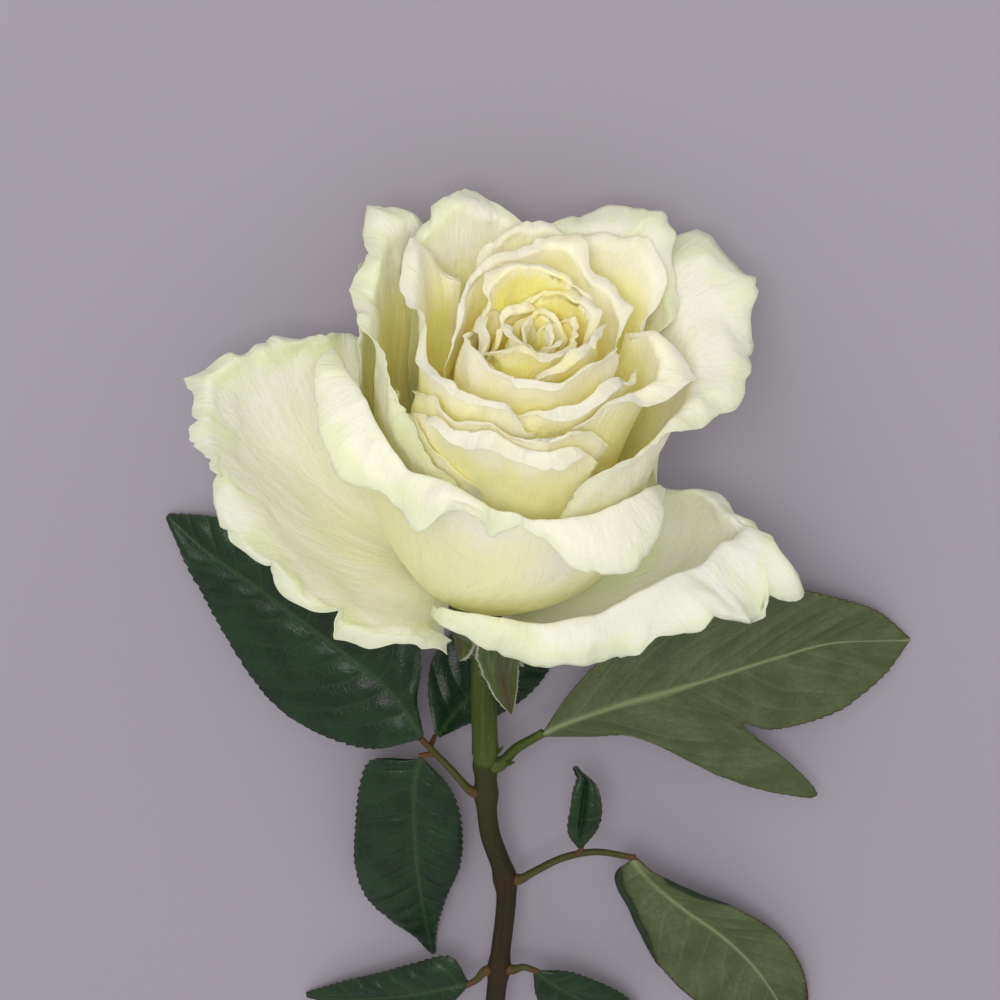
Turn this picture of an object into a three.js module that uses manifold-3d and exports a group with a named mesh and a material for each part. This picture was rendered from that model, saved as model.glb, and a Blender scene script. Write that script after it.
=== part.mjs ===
// A cut garden rose with its leaves, lying on a table. Millimetres, +Z up, +Y along the stem to the bloom.
import * as THREE from 'three';
import Module from 'manifold-3d';

const wasm = await Module();
wasm.setup();

// ---- Driving sizes ----
const BLOOM_WIDTH = 118; // across the open guard petals
const STEM_REACH = 235; // from the bloom's seat to the cut end, along Y
const PETAL_THICKNESS = 0.45;
const LEAF_THICKNESS = 0.5;
const STALK_DIAMETER = 5.7; // green stalk just under the bloom
const STEM_DIAMETER = 4.4;
const PETIOLE_DIAMETER = 1.7;
const LEAF_LENGTH = 82; // the longest leaflet, on the right
const CLEARANCE = 0.3; // left between neighbouring pieces

// ---- Attitude of the bloom on the table ----
const HEAD_RISE = THREE.MathUtils.degToRad(23.2);
const HEAD_YAW = THREE.MathUtils.degToRad(7.15);
const BLOOM = BLOOM_WIDTH / 118; // every petal size below is for a bloom 118 wide
const LEAF = LEAF_LENGTH / 82; // every leaf size below is for a longest leaflet of 82
const SEAT_HEIGHT = 26 * BLOOM; // keeps the back petals on the table
const SEAT = new THREE.Vector3(0, 0, SEAT_HEIGHT);

const AXIS = new THREE.Vector3(
  Math.cos(HEAD_RISE) * Math.sin(HEAD_YAW),
  Math.cos(HEAD_RISE) * Math.cos(HEAD_YAW),
  Math.sin(HEAD_RISE),
);
const RIGHT = new THREE.Vector3(1, 0, 0).addScaledVector(AXIS, -AXIS.x).normalize();
const BACK = new THREE.Vector3().crossVectors(AXIS, RIGHT);

const group = new THREE.Group();

// ---- Colours ----
const CREAM = 0xf3efd6;
const CREAM_DEEP = 0xe9df9c;
const GUARD = 0xeef0dc;
const SEPAL_GREEN = 0x7d8c5a;
const STALK_GREEN = 0x7a8a5c;
const STEM_BROWN = 0x6d5a48;
const LEAF_TOP = 0x2f4634;
const LEAF_UNDER = 0x6d7c5c;
const PETIOLE_RED = 0x8a5a48;

// ---- General shape tools ----
function add(name, geometry, color, roughness) {
  const material = new THREE.MeshStandardMaterial({ color, roughness, metalness: 0 });
  const mesh = new THREE.Mesh(geometry, material);
  mesh.name = name;
  group.add(mesh);
}

// Catmull-Rom through rows of numbers, with x from 0 to 1 across all the rows.
function between(rows, x) {
  const last = rows.length - 1;
  const place = Math.min(Math.max(x, 0), 1) * last;
  const i = Math.min(Math.floor(place), last - 1);
  const f = place - i;
  const b = rows[i];
  const c = rows[i + 1];
  const a = rows[i - 1] ?? b.map((v, k) => 2 * v - c[k]);
  const d = rows[i + 2] ?? c.map((v, k) => 2 * v - b[k]);
  return b.map((v, k) => {
    const m0 = (c[k] - a[k]) / 2;
    const m1 = (d[k] - v) / 2;
    const step = c[k] - v;
    return v + f * (m0 + f * (3 * step - 2 * m0 - m1 + f * (m0 + m1 - 2 * step)));
  });
}

// A closed sheet of even thickness about a grid of points, point(i, j).
function sheet(columns, rows, point, thickness) {
  const at = [];
  for (let j = 0; j < rows; j++) {
    for (let i = 0; i < columns; i++) at.push(point(i, j));
  }
  const here = (i, j) => at[j * columns + i];
  const positions = [];
  const normalAt = (i, j) => {
    const across = new THREE.Vector3().subVectors(
      here(Math.min(i + 1, columns - 1), j),
      here(Math.max(i - 1, 0), j),
    );
    const along = new THREE.Vector3().subVectors(
      here(i, Math.min(j + 1, rows - 1)),
      here(i, Math.max(j - 1, 0)),
    );
    return across.cross(along).normalize();
  };
  for (const side of [0.5, -0.5]) {
    for (let j = 0; j < rows; j++) {
      for (let i = 0; i < columns; i++) {
        const p = here(i, j).clone().addScaledVector(normalAt(i, j), side * thickness);
        positions.push(p.x, p.y, p.z);
      }
    }
  }
  const index = [];
  const under = columns * rows;
  for (let j = 0; j < rows - 1; j++) {
    for (let i = 0; i < columns - 1; i++) {
      const a = j * columns + i;
      const b = a + 1;
      const c = a + columns;
      const d = c + 1;
      index.push(a, b, d, a, d, c);
      index.push(under + a, under + d, under + b, under + a, under + c, under + d);
    }
  }
  const wall = (a, b) => index.push(a, under + a, under + b, a, under + b, b);
  for (let i = 0; i < columns - 1; i++) {
    wall(i, i + 1);
    wall((rows - 1) * columns + i + 1, (rows - 1) * columns + i);
  }
  for (let j = 0; j < rows - 1; j++) {
    wall((j + 1) * columns, j * columns);
    wall((j + 1) * columns - 1, (j + 2) * columns - 1);
  }
  const geometry = new THREE.BufferGeometry();
  geometry.setAttribute('position', new THREE.Float32BufferAttribute(positions, 3));
  geometry.setIndex(index);
  geometry.computeVertexNormals();
  return geometry;
}

function solid(geometry) {
  const position = geometry.getAttribute('position');
  const corners = geometry.index ? [...geometry.index.array] : [...Array(position.count).keys()];
  const seen = new Map();
  const places = [];
  const welded = corners.map((corner) => {
    const place = [position.getX(corner), position.getY(corner), position.getZ(corner)];
    const key = place.map((v) => Math.round(v * 1e4)).join();
    if (!seen.has(key)) {
      seen.set(key, places.length / 3);
      places.push(...place);
    }
    return seen.get(key);
  });
  const triangles = [];
  for (let i = 0; i < welded.length; i += 3) {
    const [a, b, c] = welded.slice(i, i + 3);
    if (a !== b && b !== c && c !== a) triangles.push(a, b, c);
  }
  return new wasm.Manifold(
    new wasm.Mesh({
      numProp: 3,
      vertProperties: new Float32Array(places),
      triVerts: new Uint32Array(triangles),
    }),
  );
}

function joined(geometries) {
  let all = solid(geometries[0]);
  for (const next of geometries.slice(1)) all = all.add(solid(next));
  const mesh = all.getMesh();
  const geometry = new THREE.BufferGeometry();
  geometry.setAttribute('position', new THREE.Float32BufferAttribute(mesh.vertProperties, 3));
  geometry.setIndex([...mesh.triVerts]);
  geometry.computeVertexNormals();
  return geometry;
}

// A round rod along a smooth line through the places.
function rod(places, diameter, steps, sides = 10) {
  const path = new THREE.CatmullRomCurve3(places.map((p) => new THREE.Vector3(...p)), false, 'centripetal');
  const round = new THREE.Shape();
  for (let k = 0; k < sides; k++) {
    const turn = (2 * Math.PI * k) / sides;
    const x = (diameter / 2) * Math.cos(turn);
    const y = (diameter / 2) * Math.sin(turn);
    if (k === 0) round.moveTo(x, y);
    else round.lineTo(x, y);
  }
  round.closePath();
  return new THREE.ExtrudeGeometry(round, { steps, extrudePath: path, bevelEnabled: false });
}

// ---- Petals ----
// A petal hangs between its claw on the seat and its crest; past the crest it may roll over in a lip.
// A crest row is [turn about the bloom's axis, radius, height, lip outward, lip upward].
// cup: radius of the petal's belly. seat: 0 for the innermost petal, 1 for the outermost.
const SEAT_TOP = { radius: 1.3, height: 6 };
const SEAT_RIM = { radius: 7.4, height: -2.6 };
const CLAW_HALF_WIDTH = 2.6;
const BELLY_LOW = 2.2; // heights that shape the belly of every cup petal
const BELLY_HIGH = 31;

function petalPlace(petal, u, t) {
  const rows = petal.crest;
  const [turnEnd, rCrest, wCrest, lipOut, lipUp] = between(rows, (u + 1) / 2);
  const turnMid = petal.centre ?? between(rows, 0.5)[0];
  const r0 = THREE.MathUtils.lerp(SEAT_TOP.radius, SEAT_RIM.radius, petal.seat);
  const w0 = THREE.MathUtils.lerp(SEAT_TOP.height, SEAT_RIM.height, petal.seat);
  const clawTurn = THREE.MathUtils.radToDeg(Math.min(CLAW_HALF_WIDTH / r0, 0.58)) * u;
  const body = Math.min(t, 1);
  const opening = Math.sin((Math.PI / 2) * Math.min(body / 0.8, 1)) ** 1.2;
  const turn = THREE.MathUtils.lerp(turnMid + clawTurn, turnEnd, opening);
  const [r1, w1, r2, w2] = petal.open
    ? [
        r0 + petal.open[0] * (rCrest - r0),
        w0 + petal.open[1] * (wCrest - w0),
        r0 + petal.open[2] * (rCrest - r0),
        w0 + petal.open[3] * (wCrest - w0),
      ]
    : [
        petal.cup,
        Math.max(BELLY_LOW, w0 + 1),
        petal.cup + 0.1 * (rCrest - petal.cup),
        Math.min(BELLY_HIGH, 0.75 * wCrest),
      ];
  const s = 1 - body;
  let r = s ** 3 * r0 + 3 * s * s * body * r1 + 3 * s * body * body * r2 + body ** 3 * rCrest;
  let w = s ** 3 * w0 + 3 * s * s * body * w1 + 3 * s * body * body * w2 + body ** 3 * wCrest;
  if (t > 1) {
    const f = t - 1;
    const run = Math.hypot(rCrest - r2, wCrest - w2) || 1;
    const bow = 0.55 * Math.hypot(lipOut, lipUp);
    const rBow = (bow * (rCrest - r2)) / run;
    const wBow = (bow * (wCrest - w2)) / run;
    r += 2 * f * (1 - f) * rBow + f * f * lipOut;
    w += 2 * f * (1 - f) * wBow + f * f * lipUp;
  }
  return bloomPlace(turn, r, w);
}

// A place given about the bloom's axis, gently wandered so that no petal is a perfect surface of turning.
function bloomPlace(turn, r, w) {
  const a = THREE.MathUtils.degToRad(turn);
  const across = r * Math.cos(a);
  const deep = r * Math.sin(a);
  const wander = Math.min(1, Math.hypot(r, w) / 30);
  const da = wander * (0.8 * Math.sin(0.13 * w + 0.07 * deep) + 0.5 * Math.sin(0.19 * deep + 1.1));
  const dd = wander * (0.8 * Math.sin(0.12 * w - 0.08 * across + 2) + 0.4 * Math.sin(0.2 * across));
  const dw = wander * 0.8 * Math.sin(0.12 * across + 0.1 * deep + 0.5);
  return SEAT.clone()
    .addScaledVector(RIGHT, BLOOM * (across + da))
    .addScaledVector(BACK, BLOOM * (deep + dd))
    .addScaledVector(AXIS, BLOOM * (w + dw));
}

const PETAL_ROWS = [0, 0.17, 0.36, 0.57, 0.79, 1, 1.5, 2]; // crest at 1, lip beyond it

function addPetal(name, petal, color) {
  const span = petal.crest.at(-1)[0] - petal.crest[0][0];
  const columns = span > 105 ? 11 : 8;
  const place = (i, j) => petalPlace(petal, (2 * i) / (columns - 1) - 1, PETAL_ROWS[j]);
  const geometry = sheet(columns, PETAL_ROWS.length, place, PETAL_THICKNESS);
  add(name, geometry, color, 0.6);
}

// The tight heart of the bloom: petals that follow each other round by the golden angle.
const HEART_COUNT = 12;
const GOLDEN = 137.5;

function heartPetal(i) {
  const part = i / (HEART_COUNT - 1);
  const middle = 20 + GOLDEN * i;
  const radius = 2.1 + 0.9 * i;
  const height = 61.5 + 3.5 * Math.sin(1.9 * i) * part + 2 * part;
  const half = 78 - 12 * part;
  const crest = [-1, -0.66, -0.33, 0, 0.33, 0.66, 1].map((side) => [
    middle + half * side,
    radius,
    height - 7 * Math.abs(side) ** 3,
    0.3 + 1.1 * part * (1 - side * side),
    0.9 - 1.2 * part * (1 - side * side),
  ]);
  return { crest, cup: 2.6 + 0.86 * i, seat: 0.36 * part };
}

for (let i = 0; i < HEART_COUNT; i++) {
  addPetal(`petal_heart_${i + 1}`, heartPetal(i), CREAM_DEEP);
}

// The rings round the heart, then the cup, each petal outside the one before it.
const CUP_PETALS = {
  petal_ring_front: {
    seat: 0.4, cup: 13.2,
    crest: [
      [172, 13, 58, 0.4, 1], [190, 13.3, 61.5, 0.5, 1], [215, 13.6, 62.5, 1.2, 0.2], [245, 13.8, 62, 2, 0],
      [275, 14.4, 61.5, 2, 0], [305, 14.8, 62, 1, 1], [335, 15.2, 62, 1, 1], [360, 15.6, 58, 0.3, 1],
    ],
  },
  petal_ring_back: {
    seat: 0.42, cup: 14.4,
    crest: [
      [18, 16, 56, 0.5, 1], [38, 19.5, 61, 3.5, 1.5], [55, 19, 63.5, 2.5, 2], [78, 20, 65, 4, 2],
      [100, 17.5, 65, 1.5, 1], [130, 16, 64.5, 1, 1], [160, 15.6, 63, 1, 1], [188, 15.2, 59, 1, 1],
    ],
  },
  petal_crown_right: {
    seat: 0.47, cup: 15.6,
    crest: [
      [255, 16.6, 54, 0.4, 1], [275, 17.6, 58, 1.5, 0.5], [295, 18, 58.5, 2, 0], [318, 18.5, 58, 2, 0],
      [340, 19, 57, 1.5, 0.5], [362, 19, 53, 0.5, 1],
    ],
  },
  petal_crown_left: {
    seat: 0.49, cup: 17,
    crest: [
      [122, 25, 54, 0.5, 1], [134, 28, 61, 3, 2], [156, 24, 61.5, 2, 1], [188, 20.8, 60.5, 1.2, 1],
      [222, 20.5, 60, 2, 0.5], [244, 20, 60, 2, 0], [263, 19, 58.5, 1.5, 0.5], [280, 19, 53, 0.5, 1],
    ],
  },
  petal_crown_flap: {
    seat: 0.54, cup: 18.2,
    crest: [
      [300, 19, 52, 0.5, 1], [316, 20, 56, 1.5, 1], [336, 22, 56, 4.5, 0], [355, 23.5, 56, 7, 0],
      [372, 22.5, 57.5, 2.5, 2], [392, 20.5, 53, 0.5, 1],
    ],
  },
  petal_back_inner: {
    seat: 0.52, cup: 18.6,
    crest: [
      [28, 25, 56, 0.5, 1], [46, 31, 62, 4.5, 3], [60, 29, 63.5, 3.5, 2], [80, 28, 64.5, 2.5, 1.5],
      [97, 26.5, 64, 2, 1.5], [110, 24, 61, 1, 1.5], [119, 22.5, 55, 0.5, 1],
    ],
  },
  petal_bud_inner: {
    seat: 0.56, cup: 20,
    crest: [
      [190, 20, 48, 0.3, 1], [212, 21.5, 54.5, 0.6, 1], [240, 22.5, 56, 1, 0.5], [270, 22, 55.5, 1.2, 0],
      [300, 21.5, 53, 0.8, 0.5], [322, 21, 47, 0.3, 1],
    ],
  },
  petal_bud_front: {
    seat: 0.65, cup: 21.2,
    crest: [
      [205, 22, 45, 0.3, 1], [219, 23, 51.5, 1, 1.2], [234, 23.6, 55.2, 2.8, -0.2], [250, 24, 55.4, 3.2, -1.6],
      [264, 23.6, 55, 2.4, -1.8], [280, 23.8, 53.4, 3.2, -1], [296, 23.4, 51.6, 2.6, 0.4],
      [312, 23, 46, 0.5, 1],
    ],
  },
  petal_back_outer: {
    seat: 0.61, cup: 22.2,
    crest: [
      [32, 31, 54, 1, 1], [48, 35, 60.5, 8, 3], [59, 33.5, 62, 7.5, 3], [70, 31.5, 63, 6, 3],
      [84, 28.8, 62.5, 3, 2.5], [96, 26.5, 57, 1, 1],
    ],
  },
  petal_left_yellow: {
    seat: 0.72, cup: 22.5,
    crest: [
      [180, 24.5, 44, 0.5, 1], [194, 24.4, 49, 0.4, 1], [212, 24.2, 49.5, 0.4, 1], [232, 24.2, 46, 0.3, 1],
      [250, 24.2, 40, 0.3, 1], [266, 24, 32, 0.3, 1],
    ],
  },
  petal_back_left: {
    seat: 0.69, cup: 24,
    crest: [
      [82, 31.5, 52, 0.5, 1], [93, 32, 60, 2, 3], [104, 34, 62, 7, 3], [116, 35, 62, 4, 2],
      [127, 34.2, 59, 3, 1], [136, 32.2, 52, 1, 1],
    ],
  },
  petal_left: {
    seat: 0.79, cup: 24.4,
    crest: [
      [112, 36.2, 46, 1, 1], [124, 38.5, 57, 4, 3], [134, 37.5, 60, 6, 4], [146, 35, 59.5, 5, 2],
      [160, 32.5, 58.5, 3.5, 1.5], [176, 30, 57, 1.5, 1], [194, 27, 55.5, 0.8, 1], [212, 26.2, 52, 0.5, 1],
      [228, 26, 46.5, 0.4, 1], [243, 26, 40, 0.3, 1], [258, 25.8, 31, 0.3, 1],
    ],
  },
  petal_right: {
    seat: 0.74, cup: 25.6,
    crest: [
      [280, 25.8, 33, 0.3, 1], [288, 26, 41, 0.3, 1], [298, 26.2, 46, 0.6, 1], [315, 27, 49, 1.5, 1],
      [332, 28, 50, 3, 0.5], [347, 29, 50, 7, 0], [360, 30, 50, 11, 1], [375, 31, 51, 14, 2],
      [391, 33, 52.5, 17, 4], [405, 34, 54, 13, 5], [416, 33, 52, 7, 3], [430, 31, 46, 1, 1],
    ],
  },
  petal_left_peek: {
    seat: 0.87, cup: 26.4,
    crest: [
      [122, 36.5, 38, 1, 1], [133, 38.5, 47, 2, 2], [145, 38, 52.5, 2.5, 3], [156, 36, 53, 2, 2],
      [165, 33.5, 49, 1, 1], [173, 31.5, 42, 0.5, 1],
    ],
  },
  petal_front: {
    seat: 0.88, cup: 28.4,
    crest: [
      [158, 36, 36, 0.5, 1], [167, 36, 44, 2, 2], [178, 34, 47.5, 6, 0], [190, 31, 48.5, 9, -3],
      [202, 29.6, 48, 9.5, -5], [215, 29.4, 46.5, 9, -7.5], [228, 30, 45, 6, -5], [242, 30.5, 44.2, 7.5, -4.5],
      [256, 30.8, 43.6, 4, -3], [271, 29.6, 42.6, 2, -1], [285, 29.4, 41.6, 8, -3], [299, 29, 40.8, 9.5, -4],
      [316, 28.8, 40, 7, -4.5], [332, 29.2, 38, 4, -3], [346, 29.4, 33, 1, 0],
    ],
  },
};

for (const [name, petal] of Object.entries(CUP_PETALS)) addPetal(name, petal, CREAM);

// The guard petals that have opened away from the cup.
const GUARD_PETALS = {
  petal_guard_back_right: {
    seat: 0.87, open: [0.75, 0, 1, 0.5],
    crest: [
      [8, 30.5, 18, 0.5, 1], [21, 32.5, 28, 2, 1], [36, 33.8, 36, 3, 0], [52, 34, 40, 3, -1],
      [70, 34, 41, 3, -1], [86, 33.5, 37, 2, 0], [100, 32, 28, 0.5, 1],
    ],
  },
  petal_guard_back_left: {
    seat: 0.97, open: [0.7, 0, 0.96, 0.45],
    crest: [
      [64, 34.5, 16, 0.5, 1], [80, 36, 25, 1.5, 1], [96, 36.8, 31, 2, 0], [112, 37.4, 32.5, 2.5, 0],
      [128, 37.4, 29, 2, 0], [140, 36, 19, 0.5, 1],
    ],
  },
  petal_guard_right: {
    seat: 0.95, open: [0.7, -0.04, 0.97, 0.5],
    crest: [
      [236, 24, 6, 0.4, 1], [248, 27, 11.5, 3, -1], [264, 28.6, 14, 5, -3.5], [279, 29.6, 15, 6.5, -5],
      [298, 31.5, 16.5, 8, -5.5], [313, 34, 18, 8.5, -6], [327, 37, 19, 9.5, -6], [339, 42, 19, 12, -4.5],
      [350, 46, 18.5, 13, -3], [357, 43, 18.5, 9, -2.5], [368, 38, 18, 4, -0.5], [380, 31, 15, 0.5, 0.5],
    ],
  },
  petal_guard_left: {
    seat: 1, open: [0.34, 0.02, 0.72, 0.4],
    crest: [
      [126, 34, 22, 0.5, 0.5], [137, 39, 33, 1, 1.5], [147, 44, 36.5, 2, 1.5], [157, 51, 34.5, 3, 0.5],
      [167, 59, 32, 4, 0.5], [177, 58, 28, 3, -0.5], [187, 56, 25, 2.5, -1], [197, 53, 21, 3, -1],
      [207, 48, 16.5, 3, -1.5], [221, 42, 11.5, 3, -1.5], [236, 35, 7.5, 3, -1.5], [250, 29, 4, 2.5, -1],
    ],
  },
};

for (const [name, petal] of Object.entries(GUARD_PETALS)) addPetal(name, petal, GUARD);

// ---- Under the bloom: the seat of the petals, the sepals and the stalk ----
const HIP_LENGTH = 9.5;

function seatGeometry() {
  const outline = [
    [0, -HIP_LENGTH], [2.9, -HIP_LENGTH], [4.2, -8.6], [6.2, -6.8], [7.2, -4.9], [7, -3.9], [5.4, -1.6],
    [3.4, 1.2], [1.7, 3.6], [0.7, 4.8], [0, 5],
  ].map(([r, h]) => new THREE.Vector2(r * BLOOM, h * BLOOM));
  const geometry = new THREE.LatheGeometry(outline, 20);
  geometry.applyMatrix4(new THREE.Matrix4().makeBasis(
    RIGHT,
    AXIS,
    new THREE.Vector3().crossVectors(RIGHT, AXIS),
  ));
  geometry.translate(SEAT.x, SEAT.y, SEAT.z);
  return geometry;
}

add('petal_seat', seatGeometry(), SEPAL_GREEN, 0.7);

const SEPALS = [
  { length: 31, lean: 5.5 }, // lean: how far the tip has strayed sideways
  { length: 24, lean: 2 },
  { length: 23, lean: -2.5 },
  { length: 24, lean: 2 },
  { length: 20, lean: 1.5 },
];

// A sepal folded back along the stalk, from its foot (t = 0) to its tip (t = 1).
function sepalPlace(middle, sepal, u, t) {
  const half = (4.4 + 9 * t) * (1 - t) ** 1.1 + 0.25;
  const r = 8.3 + 2.2 * Math.sin(Math.PI * Math.min(1, 1.6 * t)) - t - 0.4 * u * u;
  const w = -3.6 - sepal.length * t;
  const a = THREE.MathUtils.degToRad(middle) + (half * u) / r;
  const stalkRise = 0.0042 * Math.max(0, -w - 8) ** 2;
  return SEAT.clone()
    .addScaledVector(RIGHT, BLOOM * (r * Math.cos(a) + sepal.lean * t * t))
    .addScaledVector(BACK, BLOOM * r * Math.sin(a))
    .addScaledVector(AXIS, BLOOM * w)
    .add(new THREE.Vector3(0, 0, BLOOM * stalkRise));
}

SEPALS.forEach((sepal, k) => {
  const middle = 286 + 72 * k;
  const place = (i, j) => sepalPlace(middle, sepal, i / 3 - 1, j / 7);
  add(`sepal_${k + 1}`, sheet(7, 8, place, LEAF_THICKNESS), SEPAL_GREEN, 0.75);
});

// The stem's line falls from the seat to the table at the cut end.
const STALK_START = SEAT.clone().addScaledVector(AXIS, -HIP_LENGTH * BLOOM - CLEARANCE);
const NODE_Y = -48 * BLOOM;
const NODE_Z = 0.62 * SEAT_HEIGHT;
const CUT_Z = STEM_DIAMETER / 2 + 0.1;

const stemLine = [
  [-2, NODE_Y, NODE_Z],
  [-1.2, NODE_Y - 18, NODE_Z - 2],
  [2.4, NODE_Y - 32, NODE_Z - 3.4],
  [1.2, NODE_Y - 52, NODE_Z - 5.3],
  [0, NODE_Y - 66, NODE_Z - 6.5],
  [-1, 0.5 * (NODE_Y - 66 - STEM_REACH), 0.5 * (NODE_Z - 6.5 + CUT_Z)],
  [0.5, -STEM_REACH, CUT_Z],
];

const stalkLine = [
  STALK_START.toArray(),
  STALK_START.clone().addScaledVector(AXIS, -7 * BLOOM).toArray(),
  [-2.2, 0.7 * NODE_Y, NODE_Z + 2.2],
  [-2, NODE_Y + CLEARANCE + 0.2, NODE_Z + 0.2],
];

add('flower_stalk', rod(stalkLine, STALK_DIAMETER, 8, 12), STALK_GREEN, 0.6);

// Every leaf is laid out from its node on the stem at NODES.
const NODES = { right: [-2, -50], left: [-1.6, -57], lower: [2.3, -79], foot: [0.9, -103] };
const NODE_SWELL = 1.28; // a stem is this much thicker where a leaf leaves it
const stemCurve = new THREE.CatmullRomCurve3(stemLine.map((p) => new THREE.Vector3(...p)), false, 'centripetal');

// The middle of the stem at a distance along Y.
function stemPlace(y) {
  let low = 0;
  let high = 1;
  for (let k = 0; k < 30; k++) {
    const middle = (low + high) / 2;
    if (stemCurve.getPoint(middle).y > y) low = middle;
    else high = middle;
  }
  return stemCurve.getPoint(low);
}

const nodePlace = (node) => stemPlace(NODES[node][1] + 48 + NODE_Y);

function stemGeometry() {
  const swellings = Object.keys(NODES).map((node) => {
    const at = nodePlace(node);
    const bump = new THREE.SphereGeometry((STEM_DIAMETER / 2) * NODE_SWELL, 10, 6);
    bump.scale(1, 1.3, 1);
    bump.translate(at.x, node === 'right' ? NODE_Y - 1.3 * NODE_SWELL * (STEM_DIAMETER / 2) : at.y, at.z);
    return bump;
  });
  return joined([rod(stemLine, STEM_DIAMETER, 24, 10), ...swellings]);
}

add('stem', stemGeometry(), STEM_BROWN, 0.65);

// ---- Leaves ----
// A blade is set out by rows from its foot to its tip. Each row is a place on the midrib, then the
// margin to the left and the margin to the right as seen from the foot, each as [x, y, z].
function nodeShift(node) {
  const at = nodePlace(node);
  const [x, y] = NODES[node];
  return new THREE.Vector3(at.x - LEAF * x, at.y - LEAF * y, 0);
}

function bladePlace(rows, shift, u, t) {
  const row = between(rows.map((r) => r.flat()), t);
  const rib = new THREE.Vector3(row[0], row[1], row[2]);
  const edge = u < 0 ? new THREE.Vector3(row[3], row[4], row[5]) : new THREE.Vector3(row[6], row[7], row[8]);
  const place = rib.lerp(edge, Math.abs(u));
  place.z += 0.9 * Math.sin(Math.PI * Math.abs(u)) * Math.sin(Math.PI * t);
  return new THREE.Vector3(LEAF * place.x + shift.x, LEAF * place.y + shift.y, place.z);
}

function addBlade(name, node, rows, color) {
  const shift = nodeShift(node);
  const long = rows.length + 3;
  const place = (i, j) => bladePlace(rows, shift, i / 3 - 1, j / (long - 1));
  const geometry = sheet(7, long, place, LEAF_THICKNESS);
  add(name, geometry, color, color === LEAF_TOP ? 0.35 : 0.7);
}

addBlade('leaf_right', 'right', [
  [[10, -41, 19], [10.4, -40.2, 19], [10.6, -41.8, 18.7]],
  [[14, -39, 18.9], [15, -33, 18.4], [20, -42.5, 17.6]],
  [[18, -37.5, 18.7], [20, -27, 17.8], [29, -43.5, 16]],
  [[23, -35.7, 18.4], [27, -20, 17], [41, -50, 13.5]],
  [[28, -34, 18], [35, -15, 16], [55, -57.5, 10.5]],
  [[34, -32.5, 17.4], [44, -11.5, 15], [70, -61.5, 7.4]],
  [[38, -31.6, 16.8], [50, -10.3, 14.2], [65, -54, 9]],
  [[41, -31, 16.2], [54, -10, 13.6], [57, -47, 11]],
  [[44, -30.3, 15.6], [58, -10, 13], [53, -41.5, 12.5]],
  [[50, -28.8, 14.2], [64, -11, 11.5], [60, -44, 10.5]],
  [[60, -26.5, 11.6], [73, -14.5, 8.5], [74, -42, 6]],
  [[72, -25, 7.6], [82, -19, 4.8], [84, -35, 3.4]],
  [[90, -27.5, 0.6], [90, -26.9, 0.6], [89.8, -28.1, 0.6]],
], LEAF_UNDER);

addBlade('leaflet_left_end', 'left', [
  [[-15.2, -42.6, 18], [-16.2, -43, 18], [-14.8, -41.6, 18]],
  [[-18, -37.5, 17.8], [-24, -45.5, 17], [-16, -34, 17.5]],
  [[-22, -32, 17], [-31, -45.5, 15], [-15.3, -26, 17]],
  [[-28, -27, 15.5], [-40, -43, 12.5], [-17, -18.5, 16]],
  [[-35, -22, 13.5], [-48, -38, 9], [-24, -10, 14]],
  [[-43, -16.5, 11], [-55, -29, 6.5], [-35, -3, 11.5]],
  [[-52, -10.5, 8], [-61, -18.5, 4.5], [-48, 1.5, 7.6]],
  [[-61, -5, 4.6], [-65.5, -9, 3], [-60, 2.5, 4]],
  [[-69.5, 1.5, 0.6], [-69.8, 0.9, 0.6], [-69, 2, 0.6]],
], LEAF_TOP);

addBlade('leaflet_left_low', 'left', [
  [[-15.5, -47.8, 17], [-14.8, -48.1, 17], [-16.3, -48.1, 16.9]],
  [[-16.8, -52.5, 16.2], [-10.5, -53.5, 16], [-26, -49.5, 14]],
  [[-17.3, -60, 14.5], [-7.8, -60.5, 14.5], [-29, -57, 12.3]],
  [[-17.3, -69, 12.2], [-6.8, -69, 12.5], [-30.3, -66.5, 10.5]],
  [[-17, -78, 9.5], [-7.6, -78, 10], [-30.8, -77, 8]],
  [[-16.3, -86.5, 6.8], [-10.2, -85.5, 7.5], [-29, -86.5, 5.2]],
  [[-15.3, -95.5, 3.8], [-12.3, -94.5, 4.4], [-24, -95, 2.8]],
  [[-14, -105.5, 0.6], [-13.4, -105, 0.6], [-14.6, -105, 0.6]],
], LEAF_TOP);

addBlade('leaflet_left_back', 'left', [
  [[-12, -43.3, 15], [-12.6, -42.8, 15], [-11.4, -43.8, 15]],
  [[-8.5, -40, 11], [-14, -35, 11.5], [-7, -43.5, 10.4]],
  [[-4, -36.5, 7.4], [-13, -28.5, 8.4], [0, -43, 7]],
  [[1, -33, 4.8], [-8, -23, 5.2], [6, -40, 4.4]],
  [[6, -29, 3], [0, -20, 2.8], [11, -35, 2.6]],
  [[11, -24.5, 1.6], [8, -18.5, 1.4], [14.5, -28, 1.4]],
  [[16, -18.5, 0.6], [15.4, -18.3, 0.6], [16.4, -19.1, 0.6]],
], LEAF_TOP);

addBlade('leaflet_lower_upright', 'lower', [
  [[18.5, -69, 17], [17.9, -69, 17], [19.1, -69, 17]],
  [[18.5, -64, 17.5], [15.8, -64, 18.8], [22, -64, 18.4]],
  [[19, -59, 17.3], [16.3, -58.5, 18.8], [23, -59.5, 18.4]],
  [[19.5, -54, 17], [17, -53.5, 18.4], [22.5, -55, 18.2]],
  [[20, -49.5, 16.5], [19.5, -49.6, 16.5], [20.5, -49.6, 16.5]],
], LEAF_TOP);

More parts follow.
